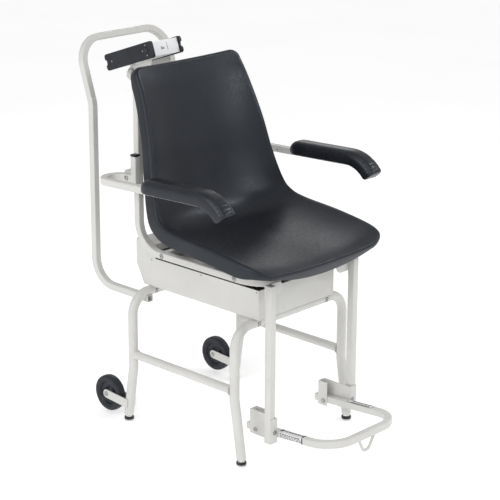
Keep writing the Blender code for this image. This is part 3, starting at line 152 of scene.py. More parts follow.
class Surface:
    """A Principled material whose colour, roughness and relief come from noise in object space."""

    def __init__(self, name, metallic=0.0, specular=0.5, coat=0.0, tint=(1.0, 1.0, 1.0)):
        self.material = bpy.data.materials.new(name)
        self.material.use_nodes = True
        self.tree = self.material.node_tree
        self.shader = self.tree.nodes["Principled BSDF"]
        self.shader.inputs["Metallic"].default_value = metallic
        self.shader.inputs["Specular IOR Level"].default_value = specular
        self.shader.inputs["Coat Weight"].default_value = coat
        self.shader.inputs["Specular Tint"].default_value = (*tint, 1.0)
        self.place = self.tree.nodes.new("ShaderNodeTexCoord").outputs["Object"]
        self.normal = None

    def noise(self, scale, detail=4.0, stretch=(1, 1, 1)):
        mapping = self.tree.nodes.new("ShaderNodeMapping")
        mapping.inputs["Scale"].default_value = stretch
        self.tree.links.new(self.place, mapping.inputs["Vector"])
        node = self.tree.nodes.new("ShaderNodeTexNoise")
        node.inputs["Scale"].default_value = scale
        node.inputs["Detail"].default_value = detail
        self.tree.links.new(mapping.outputs["Vector"], node.inputs["Vector"])
        return node.outputs["Fac"]

    def cells(self, scale):
        """Distance to the nearest point of a random scatter: pebbles and pores."""
        node = self.tree.nodes.new("ShaderNodeTexVoronoi")
        node.inputs["Scale"].default_value = scale
        self.tree.links.new(self.place, node.inputs["Vector"])
        return node.outputs["Distance"]

    def spread(self, value, low, high, start=0.35, end=0.65):
        node = self.tree.nodes.new("ShaderNodeMapRange")
        node.inputs["From Min"].default_value = start
        node.inputs["From Max"].default_value = end
        node.inputs["To Min"].default_value = low
        node.inputs["To Max"].default_value = high
        self.tree.links.new(value, node.inputs["Value"])
        return node.outputs["Result"]

    def blend(self, factor, one, two):
        """Mixes two colours; either may be another blend's output."""
        node = self.tree.nodes.new("ShaderNodeMix")
        node.data_type = "RGBA"
        self.tree.links.new(factor, node.inputs["Factor"])
        colours = [socket for socket in node.inputs if socket.type == "RGBA"]
        for socket, colour in zip(colours, (one, two)):
            if isinstance(colour, tuple):
                socket.default_value = (*colour, 1.0)
            else:
                self.tree.links.new(colour, socket)
        return [socket for socket in node.outputs if socket.type == "RGBA"][0]

    def mask(self, scale, detail, stretch=(1, 1, 1)):
        """Soft patches from 0 to 1."""
        return self.spread(self.noise(scale, detail, stretch), 0.0, 1.0)

    def colour(self, value):
        self.tree.links.new(value, self.shader.inputs["Base Color"])

    def roughness(self, scale, detail, low, high, stretch=(1, 1, 1)):
        value = self.spread(self.noise(scale, detail, stretch), low, high)
        self.tree.links.new(value, self.shader.inputs["Roughness"])

    def bumps(self, scale, detail, depth, stretch=(1, 1, 1)):
        self.relief(self.noise(scale, detail, stretch), depth)

    def relief(self, height, depth):
        """Adds one layer of bump; depth is in metres."""
        node = self.tree.nodes.new("ShaderNodeBump")
        node.inputs["Distance"].default_value = depth
        self.tree.links.new(height, node.inputs["Height"])
        if self.normal is not None:
            self.tree.links.new(self.normal, node.inputs["Normal"])
        self.normal = node.outputs["Normal"]
        self.tree.links.new(self.normal, self.shader.inputs["Normal"])


def powder_coat(name, dark, light, rubbed):
    """Smooth off-white powder coat: orange peel, faint clouding and a few dull rubs."""
    made = Surface(name, coat=0.15)
    cloud = made.mask(6.0, 5.0)
    base = made.blend(cloud, dark, light)
    rubs = made.spread(made.noise(70.0, 8.0, (1, 1, 0.25)), 0.0, 0.55, 0.66, 0.74)
    made.colour(made.blend(rubs, base, rubbed))
    made.roughness(45.0, 6.0, 0.34, 0.50)
    made.bumps(420.0, 2.0, 0.00012)
    made.bumps(55.0, 2.0, 0.00025)
    return made.material


def shell_plastic():
    """Charcoal moulding with a pebbled leather grain and lighter, rubbed patches."""
    made = Surface("moulded_charcoal", specular=0.38, tint=COOL)
    patch = made.mask(9.0, 6.0)
    base = made.blend(patch, (0.0070, 0.0082, 0.0118), (0.0112, 0.0126, 0.0168))
    grain = made.cells(640.0)
    speck = made.spread(grain, 0.60, 0.0, 0.05, 0.55)
    made.colour(made.blend(speck, base, (0.024, 0.027, 0.034)))
    made.roughness(130.0, 8.0, 0.30, 0.41)
    made.relief(grain, 0.00011)
    made.bumps(260.0, 6.0, 0.00006)
    return made.material


def pad_foam():
    """Skinned foam with fine pores and soft creases."""
    made = Surface("skinned_foam", specular=0.42, tint=COOL)
    patch = made.mask(26.0, 6.0)
    base = made.blend(patch, (0.0066, 0.0078, 0.0112), (0.0120, 0.0134, 0.0172))
    pores = made.cells(900.0)
    made.colour(made.blend(made.spread(pores, 0.6, 0.0, 0.05, 0.5), base, (0.030, 0.032, 0.037)))
    made.roughness(160.0, 8.0, 0.27, 0.38)
    made.relief(pores, 0.00007)
    made.bumps(90.0, 5.0, 0.00008, (1, 2.2, 1))
    return made.material


def dark_plastic(name, dark, light, low, high, grain):
    """Moulded black plastic or rubber with spark-eroded grain and dusty patches."""
    made = Surface(name, specular=0.42, tint=COOL)
    dust = made.mask(38.0, 7.0)
    made.colour(made.blend(dust, dark, light))
    made.roughness(240.0, 6.0, low, high)
    made.bumps(grain, 4.0, 0.00008)
    made.bumps(60.0, 3.0, 0.00010)
    return made.material


def metal(name, dark, light, low, high, stretch=(1, 1, 1)):
    """Plated or machined metal with drawn streaks and dull spots."""
    made = Surface(name, metallic=1.0)
    streak = made.mask(320.0, 6.0, stretch)
    made.colour(made.blend(streak, dark, light))
    made.roughness(150.0, 7.0, low, high, stretch)
    made.bumps(600.0, 4.0, 0.00006, stretch)
    return made.material


def display_glass():
    """Dark smoked window with faint smears."""
    made = Surface("display_glass", coat=0.6)
    smear = made.mask(60.0, 6.0, (3, 1, 1))
    made.colour(made.blend(smear, (0.030, 0.036, 0.034), (0.045, 0.052, 0.048)))
    made.roughness(90.0, 7.0, 0.06, 0.20, (3, 1, 1))
    made.bumps(30.0, 2.0, 0.00005)
    return made.material


def label_film(name, dark, light):
    """Printed film, and the dark stuff of the painted shade on screw heads: slightly mottled and softly
    glossy.
    """
    made = Surface(name)
    mottle = made.mask(220.0, 6.0)
    made.colour(made.blend(mottle, dark, light))
    made.roughness(120.0, 6.0, 0.30, 0.48)
    made.bumps(300.0, 3.0, 0.00008)
    return made.material


def board_green():
    """Solder mask over faint copper tracks."""
    made = Surface("solder_mask", coat=0.3)
    tracks = made.spread(made.noise(160.0, 2.0, (1, 6, 1)), 0.0, 1.0, 0.48, 0.52)
    made.colour(made.blend(tracks, (0.012, 0.12, 0.05), (0.03, 0.20, 0.09)))
    made.roughness(90.0, 5.0, 0.32, 0.50)
    made.relief(tracks, 0.00008)
    return made.material


WHITE = powder_coat("white_powder_coat", (0.570, 0.566, 0.545), (0.615, 0.610, 0.588), (0.50, 0.49, 0.46))
CASE_WHITE = powder_coat("white_case_coat", (0.84, 0.85, 0.86), (0.90, 0.91, 0.92), (0.78, 0.79, 0.80))
SHELL = shell_plastic()
FOAM = pad_foam()
PLASTIC = dark_plastic("moulded_black", (0.0066, 0.0078, 0.0110), (0.0125, 0.0138, 0.0180), 0.28, 0.42, 700.0)
TYRE = dark_plastic("tyre_rubber", (0.0070, 0.0080, 0.0110), (0.0160, 0.0170, 0.0200), 0.36, 0.55, 520.0)
RUBBER = dark_plastic("key_rubber", (0.020, 0.021, 0.023), (0.034, 0.035, 0.038), 0.55, 0.75, 800.0)
GREY_RUBBER = dark_plastic("foot_pad_grey", (0.52, 0.51, 0.49), (0.66, 0.65, 0.63), 0.45, 0.65, 500.0)
ZINC = metal("bright_zinc", (0.30, 0.31, 0.31), (0.56, 0.56, 0.55), 0.22, 0.38)
CHROME = metal("polished_foot", (0.62, 0.60, 0.57), (0.84, 0.82, 0.79), 0.10, 0.26)
ALUMINIUM = metal("milled_aluminium", (0.66, 0.67, 0.68), (0.82, 0.83, 0.84), 0.28, 0.44, (1, 0.15, 1))
STEEL = metal("spacer_steel", (0.40, 0.40, 0.41), (0.58, 0.58, 0.59), 0.32, 0.52, (1, 0.15, 1))
GLASS = display_glass()
BOARD = board_green()
# Dark label print; the same dark material is the painted shade in screw sockets and under screw heads.
INK_AND_SHADE = label_film("label_ink", (0.020, 0.021, 0.024), (0.045, 0.046, 0.050))
FILM = label_film("label_film", (0.70, 0.70, 0.70), (0.82, 0.82, 0.82))


# ---- mesh tools
def finish_mesh(name, bm, finish, sharp=35):
    """Turns bm, which is in world metres, into a smooth-shaded object."""
    bmesh.ops.remove_doubles(bm, verts=bm.verts, dist=1e-6)
    bmesh.ops.recalc_face_normals(bm, faces=bm.faces)
    mesh = bpy.data.meshes.new(name)
    bm.to_mesh(mesh)
    bm.free()
    mesh.shade_smooth()
    mesh.set_sharp_from_angle(angle=radians(sharp))
    mesh.materials.append(finish)
    made = bpy.data.objects.new(name, mesh)
    bpy.context.scene.collection.objects.link(made)
    return made


def stand_for(piece, *nodes):
    """The piece takes the place of CAD nodes and rides on their body."""
    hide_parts(*nodes)
    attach(piece, BODY[nodes[0]])
    return piece


def trim(piece, node):
    """A detail that goes with a CAD node's body."""
    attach(piece, BODY[node])
    return piece


def soften(piece, width, segments=3):
    """Rounds the sharp edges and keeps the flat faces flat."""
    bevel = piece.modifiers.new("soft_edges", "BEVEL")
    bevel.width = width
    bevel.segments = segments
    bevel.limit_method = "ANGLE"
    bevel.angle_limit = radians(30)
    bevel.harden_normals = True
    return piece


def refined(node, finish, width):
    """A CAD node's own form with whole faces and rounded edges."""
    bm = bmesh.new()
    bm.from_mesh(frame["nodes"][node].data)
    bmesh.ops.remove_doubles(bm, verts=bm.verts, dist=1e-5)
    bmesh.ops.dissolve_limit(bm, angle_limit=radians(1), verts=bm.verts, edges=bm.edges)
    return stand_for(soften(finish_mesh(node + "_shown", bm, finish), width), node)


def bridge(bm, rings, closed=True):
    """Quads between each ring of vertices and the next."""
    for one, two in zip(rings, rings[1:]):
        count = len(one)
        for i in range(count if closed else count - 1):
            j = (i + 1) % count
            bm.faces.new((one[i], one[j], two[j], two[i]))


def hexagon(turn):
    """Radius of a hexagon at an angle, for corners at radius 1."""
    return cos(pi / 6) / cos(turn % (pi / 3) - pi / 6)


def turned(name, profile, start, axis, finish, sides=48, sharp=35):
    """Revolves (distance along the axis, radius) pairs; a third item of 6 makes that ring a hexagon."""
    axis = Vector(axis).normalized()
    side = axis.orthogonal().normalized()
    other = axis.cross(side)
    start = Vector(start)
    bm = bmesh.new()
    rings = []
    for along, radius, *form in profile:
        if radius == 0:
            rings.append([bm.verts.new(start + axis * along)])
            continue
        ring = []
        for i in range(sides):
            turn = 2 * pi * i / sides
            reach = radius * (hexagon(turn) if form else 1)
            ring.append(bm.verts.new(start + axis * along + (side * cos(turn) + other * sin(turn)) * reach))
        rings.append(ring)
    if profile[0][1] or profile[-1][1]:
        rings.append(rings[0])
    for one, two in zip(rings, rings[1:]):
        for i in range(sides):
            j = (i + 1) % sides
            corners = [one[i % len(one)], one[j % len(one)], two[j % len(two)], two[i % len(two)]]
            bm.faces.new(list(dict.fromkeys(corners)))
    return finish_mesh(name, bm, finish, sharp)


def rounded(points, radius, steps=4):
    """A turned profile's (along, radius) corners, each inner one cut by a small arc."""
    made = [points[0]]
    for before, corner, after in zip(points, points[1:], points[2:]):
        here = Vector(corner)
        back = Vector(before) - here
        ahead = Vector(after) - here
        reach = min(radius, back.length * 0.45, ahead.length * 0.45)
        first = here + back.normalized() * reach
        last = here + ahead.normalized() * reach
        for i in range(steps + 1):
            t = i / steps
            made.append(tuple(first * (1 - t) ** 2 + here * (2 * t * (1 - t)) + last * t**2))
    made.append(points[-1])
    return made


def box_mesh(bm, low, high, matrix=Matrix()):
    """Adds a box between two corners of the matrix's own axes."""
    low, high = Vector(low), Vector(high)
    verts = bmesh.ops.create_cube(bm, size=1.0)["verts"]
    bmesh.ops.scale(bm, verts=verts, vec=high - low)
    bmesh.ops.translate(bm, verts=verts, vec=(low + high) / 2)
    bmesh.ops.transform(bm, matrix=matrix, verts=verts)


def route(corners, step=FINE):
    """Points along straight runs joined by arcs. A corner is (point, bend radius), 0 at both ends."""
    points = [Vector(corners[0][0])]
    for (before, _), (corner, radius), (after, _) in zip(corners, corners[1:], corners[2:]):
        corner = Vector(corner)
        back = (Vector(before) - corner).normalized()
        ahead = (Vector(after) - corner).normalized()
        turn = pi - acos(max(-1.0, min(1.0, back.dot(ahead))))
        middle = (back + ahead).normalized()
        centre = corner + middle * (radius / cos(turn / 2))
        first = corner + back * (radius * tan(turn / 2)) - centre
        pole = first.cross(corner - centre).normalized()
        count = max(2, round(turn / step))
        for i in range(count + 1):
            points.append(centre + Matrix.Rotation(turn * i / count, 3, pole) @ first)
    points.append(Vector(corners[-1][0]))
    return points


def round_section(radius, sides=32):
    return [(radius * cos(2 * pi * i / sides), radius * sin(2 * pi * i / sides)) for i in range(sides)]


def square_section(size=TUBE, corner=TUBE_CORNER_R, steps=6):
    """A square with rounded corners, as (sideways, up) pairs."""
    half = size / 2 - corner
    points = []
    for quarter, (sx, sy) in enumerate(((1, 1), (-1, 1), (-1, -1), (1, -1))):
        for i in range(steps + 1):
            turn = radians(90 * (quarter + i / steps))
            points.append((sx * half + corner * cos(turn), sy * half + corner * sin(turn)))
    return points


def slide(ring, heading, point, normal):
    """Moves each ring point along the heading onto the plane through point."""
    return [q + heading * ((point - q).dot(normal) / heading.dot(normal)) for q in ring]


def swept_rings(section, path, sideways, end_normals):
    """The section's points at every point of the path, mitred."""
    heading = (path[1] - path[0]).normalized()
    side = (Vector(sideways) - heading * Vector(sideways).dot(heading)).normalized()
    up = heading.cross(side)
    ring = [path[0] + side * a + up * b for a, b in section]
    if end_normals[0] is not None:
        ring = slide(ring, heading, path[0], Vector(end_normals[0]))
    rings = [ring]
    for i in range(1, len(path)):
        heading = (path[i] - path[i - 1]).normalized()
        normal = heading
        if i < len(path) - 1:
            normal = heading + (path[i + 1] - path[i]).normalized()
        elif end_normals[1] is not None:
            normal = Vector(end_normals[1])
        ring = slide(ring, heading, path[i], normal)
        rings.append(ring)
    return rings


def sweep(name, section, path, sideways, finish, end_normals=(None, None), bore=None):
    """Carries a section along a path. bore is (section, depth) of a blind hole in each end."""
    bm = bmesh.new()
    rings = swept_rings(section, path, sideways, end_normals)
    rings = [[bm.verts.new(point) for point in ring] for ring in rings]
    bridge(bm, rings)
    if bore is None:
        bm.faces.new(rings[0])
        bm.faces.new(rings[-1])
    else:
        inner = swept_rings(bore[0], path, sideways, end_normals)
        ends = ((rings[0], inner[0], path[1] - path[0]), (rings[-1], inner[-1], path[-2] - path[-1]))
        for outer_ring, mouth, inward in ends:
            deep = [bm.verts.new(point + inward.normalized() * bore[1]) for point in mouth]
            mouth = [bm.verts.new(point) for point in mouth]
            bridge(bm, [outer_ring, mouth, deep])
            bm.faces.new(deep)
    made = finish_mesh(name, bm, finish)
    flat = made.modifiers.new("flat_faces", "WEIGHTED_NORMAL")
    flat.keep_sharp = True
    return made


OPEN_END = (square_section(TUBE - 0.004, 0.0016), 0.03)


def button_head(name, place, axis, radius, node, height=None):
    """A domed screw head; the dark plug in its hexagonal socket is painted shade of the recess, and the thin
    dark ring round its foot is painted shade under the head; place is on the surface.
    """
    tall = height or radius * 0.55
    profile = [
        (0, 0), (0, radius * 1.28), (tall * 0.16, radius * 1.34), (tall * 0.30, radius * 1.26),
        (tall * 0.32, radius), (tall * 0.62, radius * 0.96), (tall * 0.88, radius * 0.78),
        (tall, radius * 0.56), (tall * 0.98, radius * 0.44, 6), (tall * 0.25, radius * 0.40, 6),
        (tall * 0.20, 0),
    ]
    trim(turned(name, profile, place, axis, ZINC, 36, 40), node)
    # The dark socket plug and the dark ring round the head's foot are painted shade, not dark parts.
    key = radius * 0.42
    socket = [(tall * 0.1, 0), (tall * 0.1, key, 6), (tall * 0.60, key, 6), (tall * 0.60, 0)]
    thick, edge = tall * 0.12, radius * 1.62
    foot_shade = rounded([(0, 0), (0, edge), (thick, edge), (thick, 0)], tall * 0.05)
    for part, outline in (("_socket", socket), ("_washer", foot_shade)):
        trim(turned(name + part, outline, place, axis, INK_AND_SHADE, 36, 40), node)


# ---- legs and feet
def leg_path(end):
    """From the left foot up, across under the base, and down to the right foot."""
    share = LEG_END_Z / KNEE_Z[end]
    end_x = FOOT_X + (LEG_X - FOOT_X) * share
    end_y = FOOT_Y[end] + (LEG_Y[end] - FOOT_Y[end]) * share
    return route([
        ((-end_x, end_y, LEG_END_Z), 0),
        ((-LEG_X, LEG_Y[end], KNEE_Z[end]), KNEE_BEND_R),
        ((-LEG_X, LEG_Y[end], LEG_TOP_Z), LEG_BEND_R),
        ((LEG_X, LEG_Y[end], LEG_TOP_Z), LEG_BEND_R),
        ((LEG_X, LEG_Y[end], KNEE_Z[end]), KNEE_BEND_R),
        ((end_x, end_y, LEG_END_Z), 0),
    ])


LEVEL_ENDS = ((0, 0, 1), (0, 0, 1))
LEG_SCREW_X = 0.1300


def build_legs():
    bore = (round_section(LEG_BORE_R), 0.018)
    for end in LEG_Y:
        node = end + "_leg_frame"
        tube = sweep(node + "_tube", round_section(LEG_R), leg_path(end), (1, 0, 0), WHITE, LEVEL_ENDS, bore)
        stand_for(tube, node)
        for side_name, side in SIDES.items():
            place = (side * LEG_SCREW_X, LEG_Y[end] - LEG_R + 0.0006, LEG_TOP_Z - 0.0015)
            button_head(side_name + "_" + end + "_leg_screw", place, (0, -1, -0.15), 0.0042, node)
    for side_name, side in SIDES.items():
        stretcher(side_name, side)
        for end in LEG_Y:
            foot(side_name + "_" + end + "_foot")


def stretcher(side_name, side):
    """A straight tube between two legs, with a weld fillet at each."""
    length = LEG_Y["rear"] - LEG_Y["front"]
    fillet = [(LEG_R - 0.0030, STRETCHER_R + 0.0040)]
    for i in range(6):
        t = i / 5
        fillet.append((LEG_R + 0.0005 + 0.0045 * t, STRETCHER_R + 0.0028 * (1 - t) ** 2.2))
    far = [(length - along, radius) for along, radius in reversed(fillet)]
    profile = [(LEG_R - 0.0030, 0)] + fillet + far + [(length - LEG_R + 0.0030, 0)]
    start = (side * LEG_X, LEG_Y["front"], STRETCHER_Z)
    node = side_name + "_stretcher"
    stand_for(turned(node + "_tube", profile, start, (0, 1, 0), WHITE, 40), node)


def foot(node):
    """A levelling foot: pale pad, black ring, and a plated neck with a hexagonal collar."""
    low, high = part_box(node)
    place = Vector(((low.x + high.x) / 2, (low.y + high.y) / 2, 0))
    top = LEG_END_Z - GAP
    pad = rounded([(0, 0), (0, 0.0126), (0.0052, 0.0126), (0.0052, 0)], 0.0012)
    trim(turned(node + "_pad", pad, place, (0, 0, 1), GREY_RUBBER), node)
    ring = rounded([(0.0046, 0), (0.0046, 0.0133), (0.0116, 0.0133), (0.0116, 0)], 0.0016)
    trim(turned(node + "_ring", ring, place, (0, 0, 1), PLASTIC), node)
    neck = [
        (0.0110, 0), (0.0110, 0.0082), (0.0128, 0.0082), (0.0130, 0.0101, 6),
        (0.0160, 0.0101, 6), (0.0162, 0.0088), (0.0172, 0.0094), (top - 0.0004, 0.0094),
        (top, 0.0088), (top, 0.0045), (top + 0.012, 0.0045), (top + 0.012, 0),
    ]
    stand_for(turned(node + "_neck", neck, place, (0, 0, 1), CHROME), node)


# ---- base
def build_base():
    refined("base_housing", WHITE, 0.0009)
    refined("weigh_platform", WHITE, 0.0010)
    for node, finish in (("lower_spacer", STEEL), ("upper_spacer", STEEL), ("load_cell", ALUMINIUM)):
        refined(node, finish, 0.0006)
    low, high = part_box("base_housing")
    screw_z = 0.4500
    for side_name, side in SIDES.items():
        for place, y in (("front", low.y + 0.0075), ("middle", 0.0), ("rear", 0.185)):
            name = side_name + "_" + place + "_base_screw"
            spot = (side * (high.x - 0.0002), y, screw_z)
            button_head(name, spot, (side, 0, 0), 0.0019, "base_housing", height=0.0013)


# ---- seat
# The crest of the rim on one side, from the front to the top, as (half width, y, z).
CREST = [
    (0.2300, -0.3000, 0.5370),
    (0.2450, -0.2500, 0.5560),
    (0.2480, -0.1350, 0.5740),
    (0.2480, -0.0100, 0.5860),
    (0.2470, 0.0400, 0.6000),
    (0.2400, 0.0640, 0.6300),
    (0.2265, 0.0900, 0.7040),
    (0.2115, 0.1150, 0.8010),
    (0.1965, 0.1540, 0.9030),
    (0.1900, 0.1900, 0.9670),
]
# How far the middle of the shell lies below or behind its crest, at the same stations.
DISH = [0.010, 0.022, 0.034, 0.040, 0.044, 0.046, 0.044, 0.040, 0.026, 0.010]
SHELL_THICK = 0.0045
RIM_R = 0.0080
TOP_CORNER_R = 0.018
FRONT_CORNER_R = 0.045
FRONT_BOW = 0.008
RIM_SIDE_DEPTH = 0.042
RIM_FRONT_DEPTH = 0.034
RIM_CORNER_DEPTH = 0.016
RIM_TOP_DEPTH = 0.024
RIM_BACK_DEPTH = 0.034
RIM_FRONT_RUN = 0.12  # lengths along the crest over which the rim's depth changes
RIM_CLIMB_START = 0.35
RIM_CLIMB_RUN = 0.20
RIM_TOP_RUN = 0.05
CORNER_STEPS = 10


def spline(values, t):
    """A smooth curve through evenly spaced values, read at t from 0 to 1."""
    place = t * (len(values) - 1)
    i = min(int(place), len(values) - 2)
    f = place - i
    p1, p2 = values[i], values[i + 1]
    p0 = values[i - 1] if i > 0 else p1 * 2 - p2
    p3 = values[i + 2] if i + 2 < len(values) else p2 * 2 - p1
    cubic = (p3 - p0 + (p1 - p2) * 3) * f**3 + (p0 * 2 - p1 * 5 + p2 * 4 - p3) * f**2
    return p1 + (cubic + (p2 - p0) * f) * 0.5


def smooth_step(t):
    t = max(0.0, min(1.0, t))
    return t * t * (3 - 2 * t)


class ShellForm:
    """The shell's upper surface: station t runs from the front edge to the top, share s across it."""

    def __init__(self):
        self.stations = [Vector(point) for point in CREST]
        self.length = sum((b - a).yz.length for a, b in zip(self.stations, self.stations[1:]))

    def crest(self, t):
        return spline(self.stations, t)

    def normal(self, t):
        """Toward the sitter, in the side view."""
        step = 0.002
        ahead = self.crest(min(1.0, t + step)) - self.crest(max(0.0, t - step))
        along = Vector((0, ahead.y, ahead.z)).normalized()
        return Vector((0, -along.z, along.y))

    def half_width(self, t):
        """Half the width at a station, less at the rounded corners."""
        width = self.crest(t).x - RIM_R
        for distance, corner in ((t * self.length, FRONT_CORNER_R), ((1 - t) * self.length, TOP_CORNER_R)):
            if distance < corner:
                width -= corner - (corner**2 - (corner - distance) ** 2) ** 0.5
        return width

    def point(self, s, t):
        """s from -1 to 1 across, t from 0 to 1 along."""
        crest = self.crest(t)
        x = s * self.half_width(t)
        q = min(1.0, abs(x) / (crest.x - RIM_R))
        depth = spline(DISH, t) * (1 - q**2.6)
        bow = -FRONT_BOW * (1 - q**2) * smooth_step(1 - t * 6)
        return Vector((x, crest.y + bow, crest.z)) - self.normal(t) * depth


def rim_depth(form, s, t):
    """How far the rim is turned down at a place on its loop."""
    if t == 0.0:
        return RIM_CORNER_DEPTH + (RIM_FRONT_DEPTH - RIM_CORNER_DEPTH) * (1 - abs(s) ** 2)
    if t == 1.0:
        return RIM_TOP_DEPTH
    rise = smooth_step(t * form.length / RIM_FRONT_RUN)
    climb = smooth_step((t * form.length - RIM_CLIMB_START) / RIM_CLIMB_RUN)
    fall = smooth_step((1 - t) * form.length / RIM_TOP_RUN)
    depth = RIM_CORNER_DEPTH + (RIM_SIDE_DEPTH - RIM_CORNER_DEPTH) * rise
    depth += (RIM_BACK_DEPTH - RIM_SIDE_DEPTH) * climb
    return RIM_TOP_DEPTH + (depth - RIM_TOP_DEPTH) * fall


def shell_stations(form, count):
    """Station values, closer together at the two rounded ends."""
    corner_share = TOP_CORNER_R / form.length
    front_share = FRONT_CORNER_R / form.length
    steps = [1 - cos(pi / 2 * i / CORNER_STEPS) for i in range(CORNER_STEPS + 1)]
    stations = [front_share * share for share in steps]
    stations += [front_share + (1 - corner_share - front_share) * i / count for i in range(1, count)]
    stations += [1 - corner_share * share for share in reversed(steps)]
    return stations


def shell_mesh(form, across, count):
    """The shell's outer skin: the dished surface, the rounded rim, and its turned-down flange."""
    bm = bmesh.new()
    along = shell_stations(form, count)
    grid = [[bm.verts.new(form.point(-1 + 2 * i / across, t)) for i in range(across + 1)] for t in along]
    bridge(bm, grid, closed=False)
    last = len(along) - 1
    loop = [(-1 + 2 * i / across, 0.0, grid[0][i]) for i in range(across)]
    loop += [(1.0, along[i], grid[i][across]) for i in range(last)]
    loop += [(1 - 2 * i / across, 1.0, grid[last][across - i]) for i in range(across)]
    loop += [(-1.0, along[last - i], grid[last - i][0]) for i in range(last)]
    rings = [[vertex for _, _, vertex in loop]]
    places = []
    for i, (s, t, vertex) in enumerate(loop):
        normal = form.normal(t)
        chord = loop[(i + 1) % len(loop)][2].co - loop[i - 1][2].co
        side = chord.cross(normal).normalized()
        places.append((vertex.co.copy(), side, normal, rim_depth(form, s, t) - RIM_R))
    steps = [(RIM_R * sin(radians(a)), RIM_R * (1 - cos(radians(a))), 0.0) for a in (15, 30, 45, 60, 75, 90)]
    steps += [(RIM_R, RIM_R, share) for share in (0.25, 0.5, 0.75, 0.92, 1.0)]
    for out, down, share in steps:
        flare = 0.0014 * share * share
        ring = []
        for crest, side, normal, drop in places:
            ring.append(bm.verts.new(crest + side * (out - flare) - normal * (down + drop * share)))
        rings.append(ring)
    bridge(bm, rings)
    return bm


def seat_shell():
    made = finish_mesh("moulded_seat", shell_mesh(ShellForm(), 64, 96), SHELL)
    middle = Vector((0, -0.1, 0.545))
    nearest = min(made.data.polygons, key=lambda face: (face.center - middle).length)
    if nearest.normal.z < 0:
        made.data.flip_normals()
    thickness = made.modifiers.new("thickness", "SOLIDIFY")
    thickness.thickness = SHELL_THICK
    thickness.offset = -1
    lip = made.modifiers.new("lip", "BEVEL")
    lip.width = 0.0012
    lip.segments = 3
    lip.limit_method = "ANGLE"
    lip.angle_limit = radians(60)
    stand_for(made, "seat_shell")


def seat_rail(side_name, side):
    """Back post, bend, rail under the seat and the inward curve at the front."""
    path = route([
        ((side * RAIL_X, POST_Y, POST_TOP_Z), 0),
        ((side * RAIL_X, POST_Y, RAIL_Z), RAIL_BEND_R),
        ((side * RAIL_X, RAIL_FRONT_Y, RAIL_Z), 0),
    ])
    centre = Vector((side * (RAIL_X - RAIL_FRONT_BEND_R), RAIL_FRONT_Y, RAIL_Z))
    whole = pi / 2 - acos(RAIL_TURN_SHARE)
    steps = 14
    for i in range(1, steps + 1):
        turn = whole * i / steps
        path.append(centre + Vector((side * cos(turn), -sin(turn), 0)) * RAIL_FRONT_BEND_R)
    node = side_name + "_seat_rail"
    stand_for(sweep(node + "_tube", square_section(), path, (1, 0, 0), WHITE, bore=OPEN_END), node)
    for place, y in zip(("front", "rear"), SUPPORT_Y):
        spot = (side * (RAIL_X + HALF - 0.0002), y, RAIL_Z)
        button_head(side_name + "_" + place + "_rail_screw", spot, (side, 0, 0), 0.0044, node)
    cap = rounded([(0, 0), (0, 0.0088), (0.0022, 0.0088), (0.0030, 0)], 0.0010)
    plug = turned(side_name + "_post_plug", cap, (side * RAIL_X, POST_Y, POST_TOP_Z), (0, 0, 1), PLASTIC, 32)
    trim(plug, node)


def build_seat():
    seat_shell()
    for side_name, side in SIDES.items():
        seat_rail(side_name, side)
    for node in ("front_seat_support", "rear_seat_support", "back_support"):
        refined(node, WHITE, 0.0016)


# ---- push handle
def push_handle():
    """A U of square tube: two runs under the rear leg frame, two posts and a grip bar that leans back."""
    half = []
    for side in (-1, 1):
        x = side * HANDLE_X
        half.append([
            ((x, HANDLE_START_Y, HANDLE_LOW_Z), 0),
            ((x, HANDLE_POST_Y, HANDLE_LOW_Z), HANDLE_LOW_BEND_R),
            ((x, HANDLE_POST_Y, HANDLE_KICK_Z), HANDLE_KICK_BEND_R),
            ((x, HANDLE_TOP_Y, HANDLE_TOP_Z), HANDLE_TOP_BEND_R),
        ])
    path = route(half[0] + half[1][::-1])
    stand_for(sweep("handle_tube", square_section(), path, (1, 0, 0), WHITE, bore=OPEN_END), "push_handle")


# ---- footrest
def footrest_z(y):
    return FOOTREST_Z_AT - FOOTREST_SLOPE * (y - FOOTREST_Y_AT)


def footrest_matrix(side, y):
    """Axes of a footrest arm: X outward, Y forward along the tube, Z up."""
    forward = Vector((0, -1, FOOTREST_SLOPE)).normalized()
    outward = Vector((side, 0, 0))
    up = Vector((0, FOOTREST_SLOPE, 1)).normalized()
    made = Matrix((outward, forward, up)).transposed().to_4x4()
    made.translation = (side * FOOTREST_X, y, footrest_z(y))
    return made


LABEL_START_Y = -0.2760
LABEL_LENGTH = 0.0830
FILM_THICK = 0.0002


def ink_rows(bm, seed, rows, length, place):
    """Rows of short generic bars. place(u, v) turns distances along and across the label into two corners."""
    dice = Random(seed)
    for centre, height in rows:
        at = 0.004
        while at < length - 0.012:
            wide = dice.uniform(0.0034, 0.0080)
            place(bm, at, at + wide, centre - height / 2, centre + height / 2)
            at += wide + dice.uniform(0.0014, 0.0024)


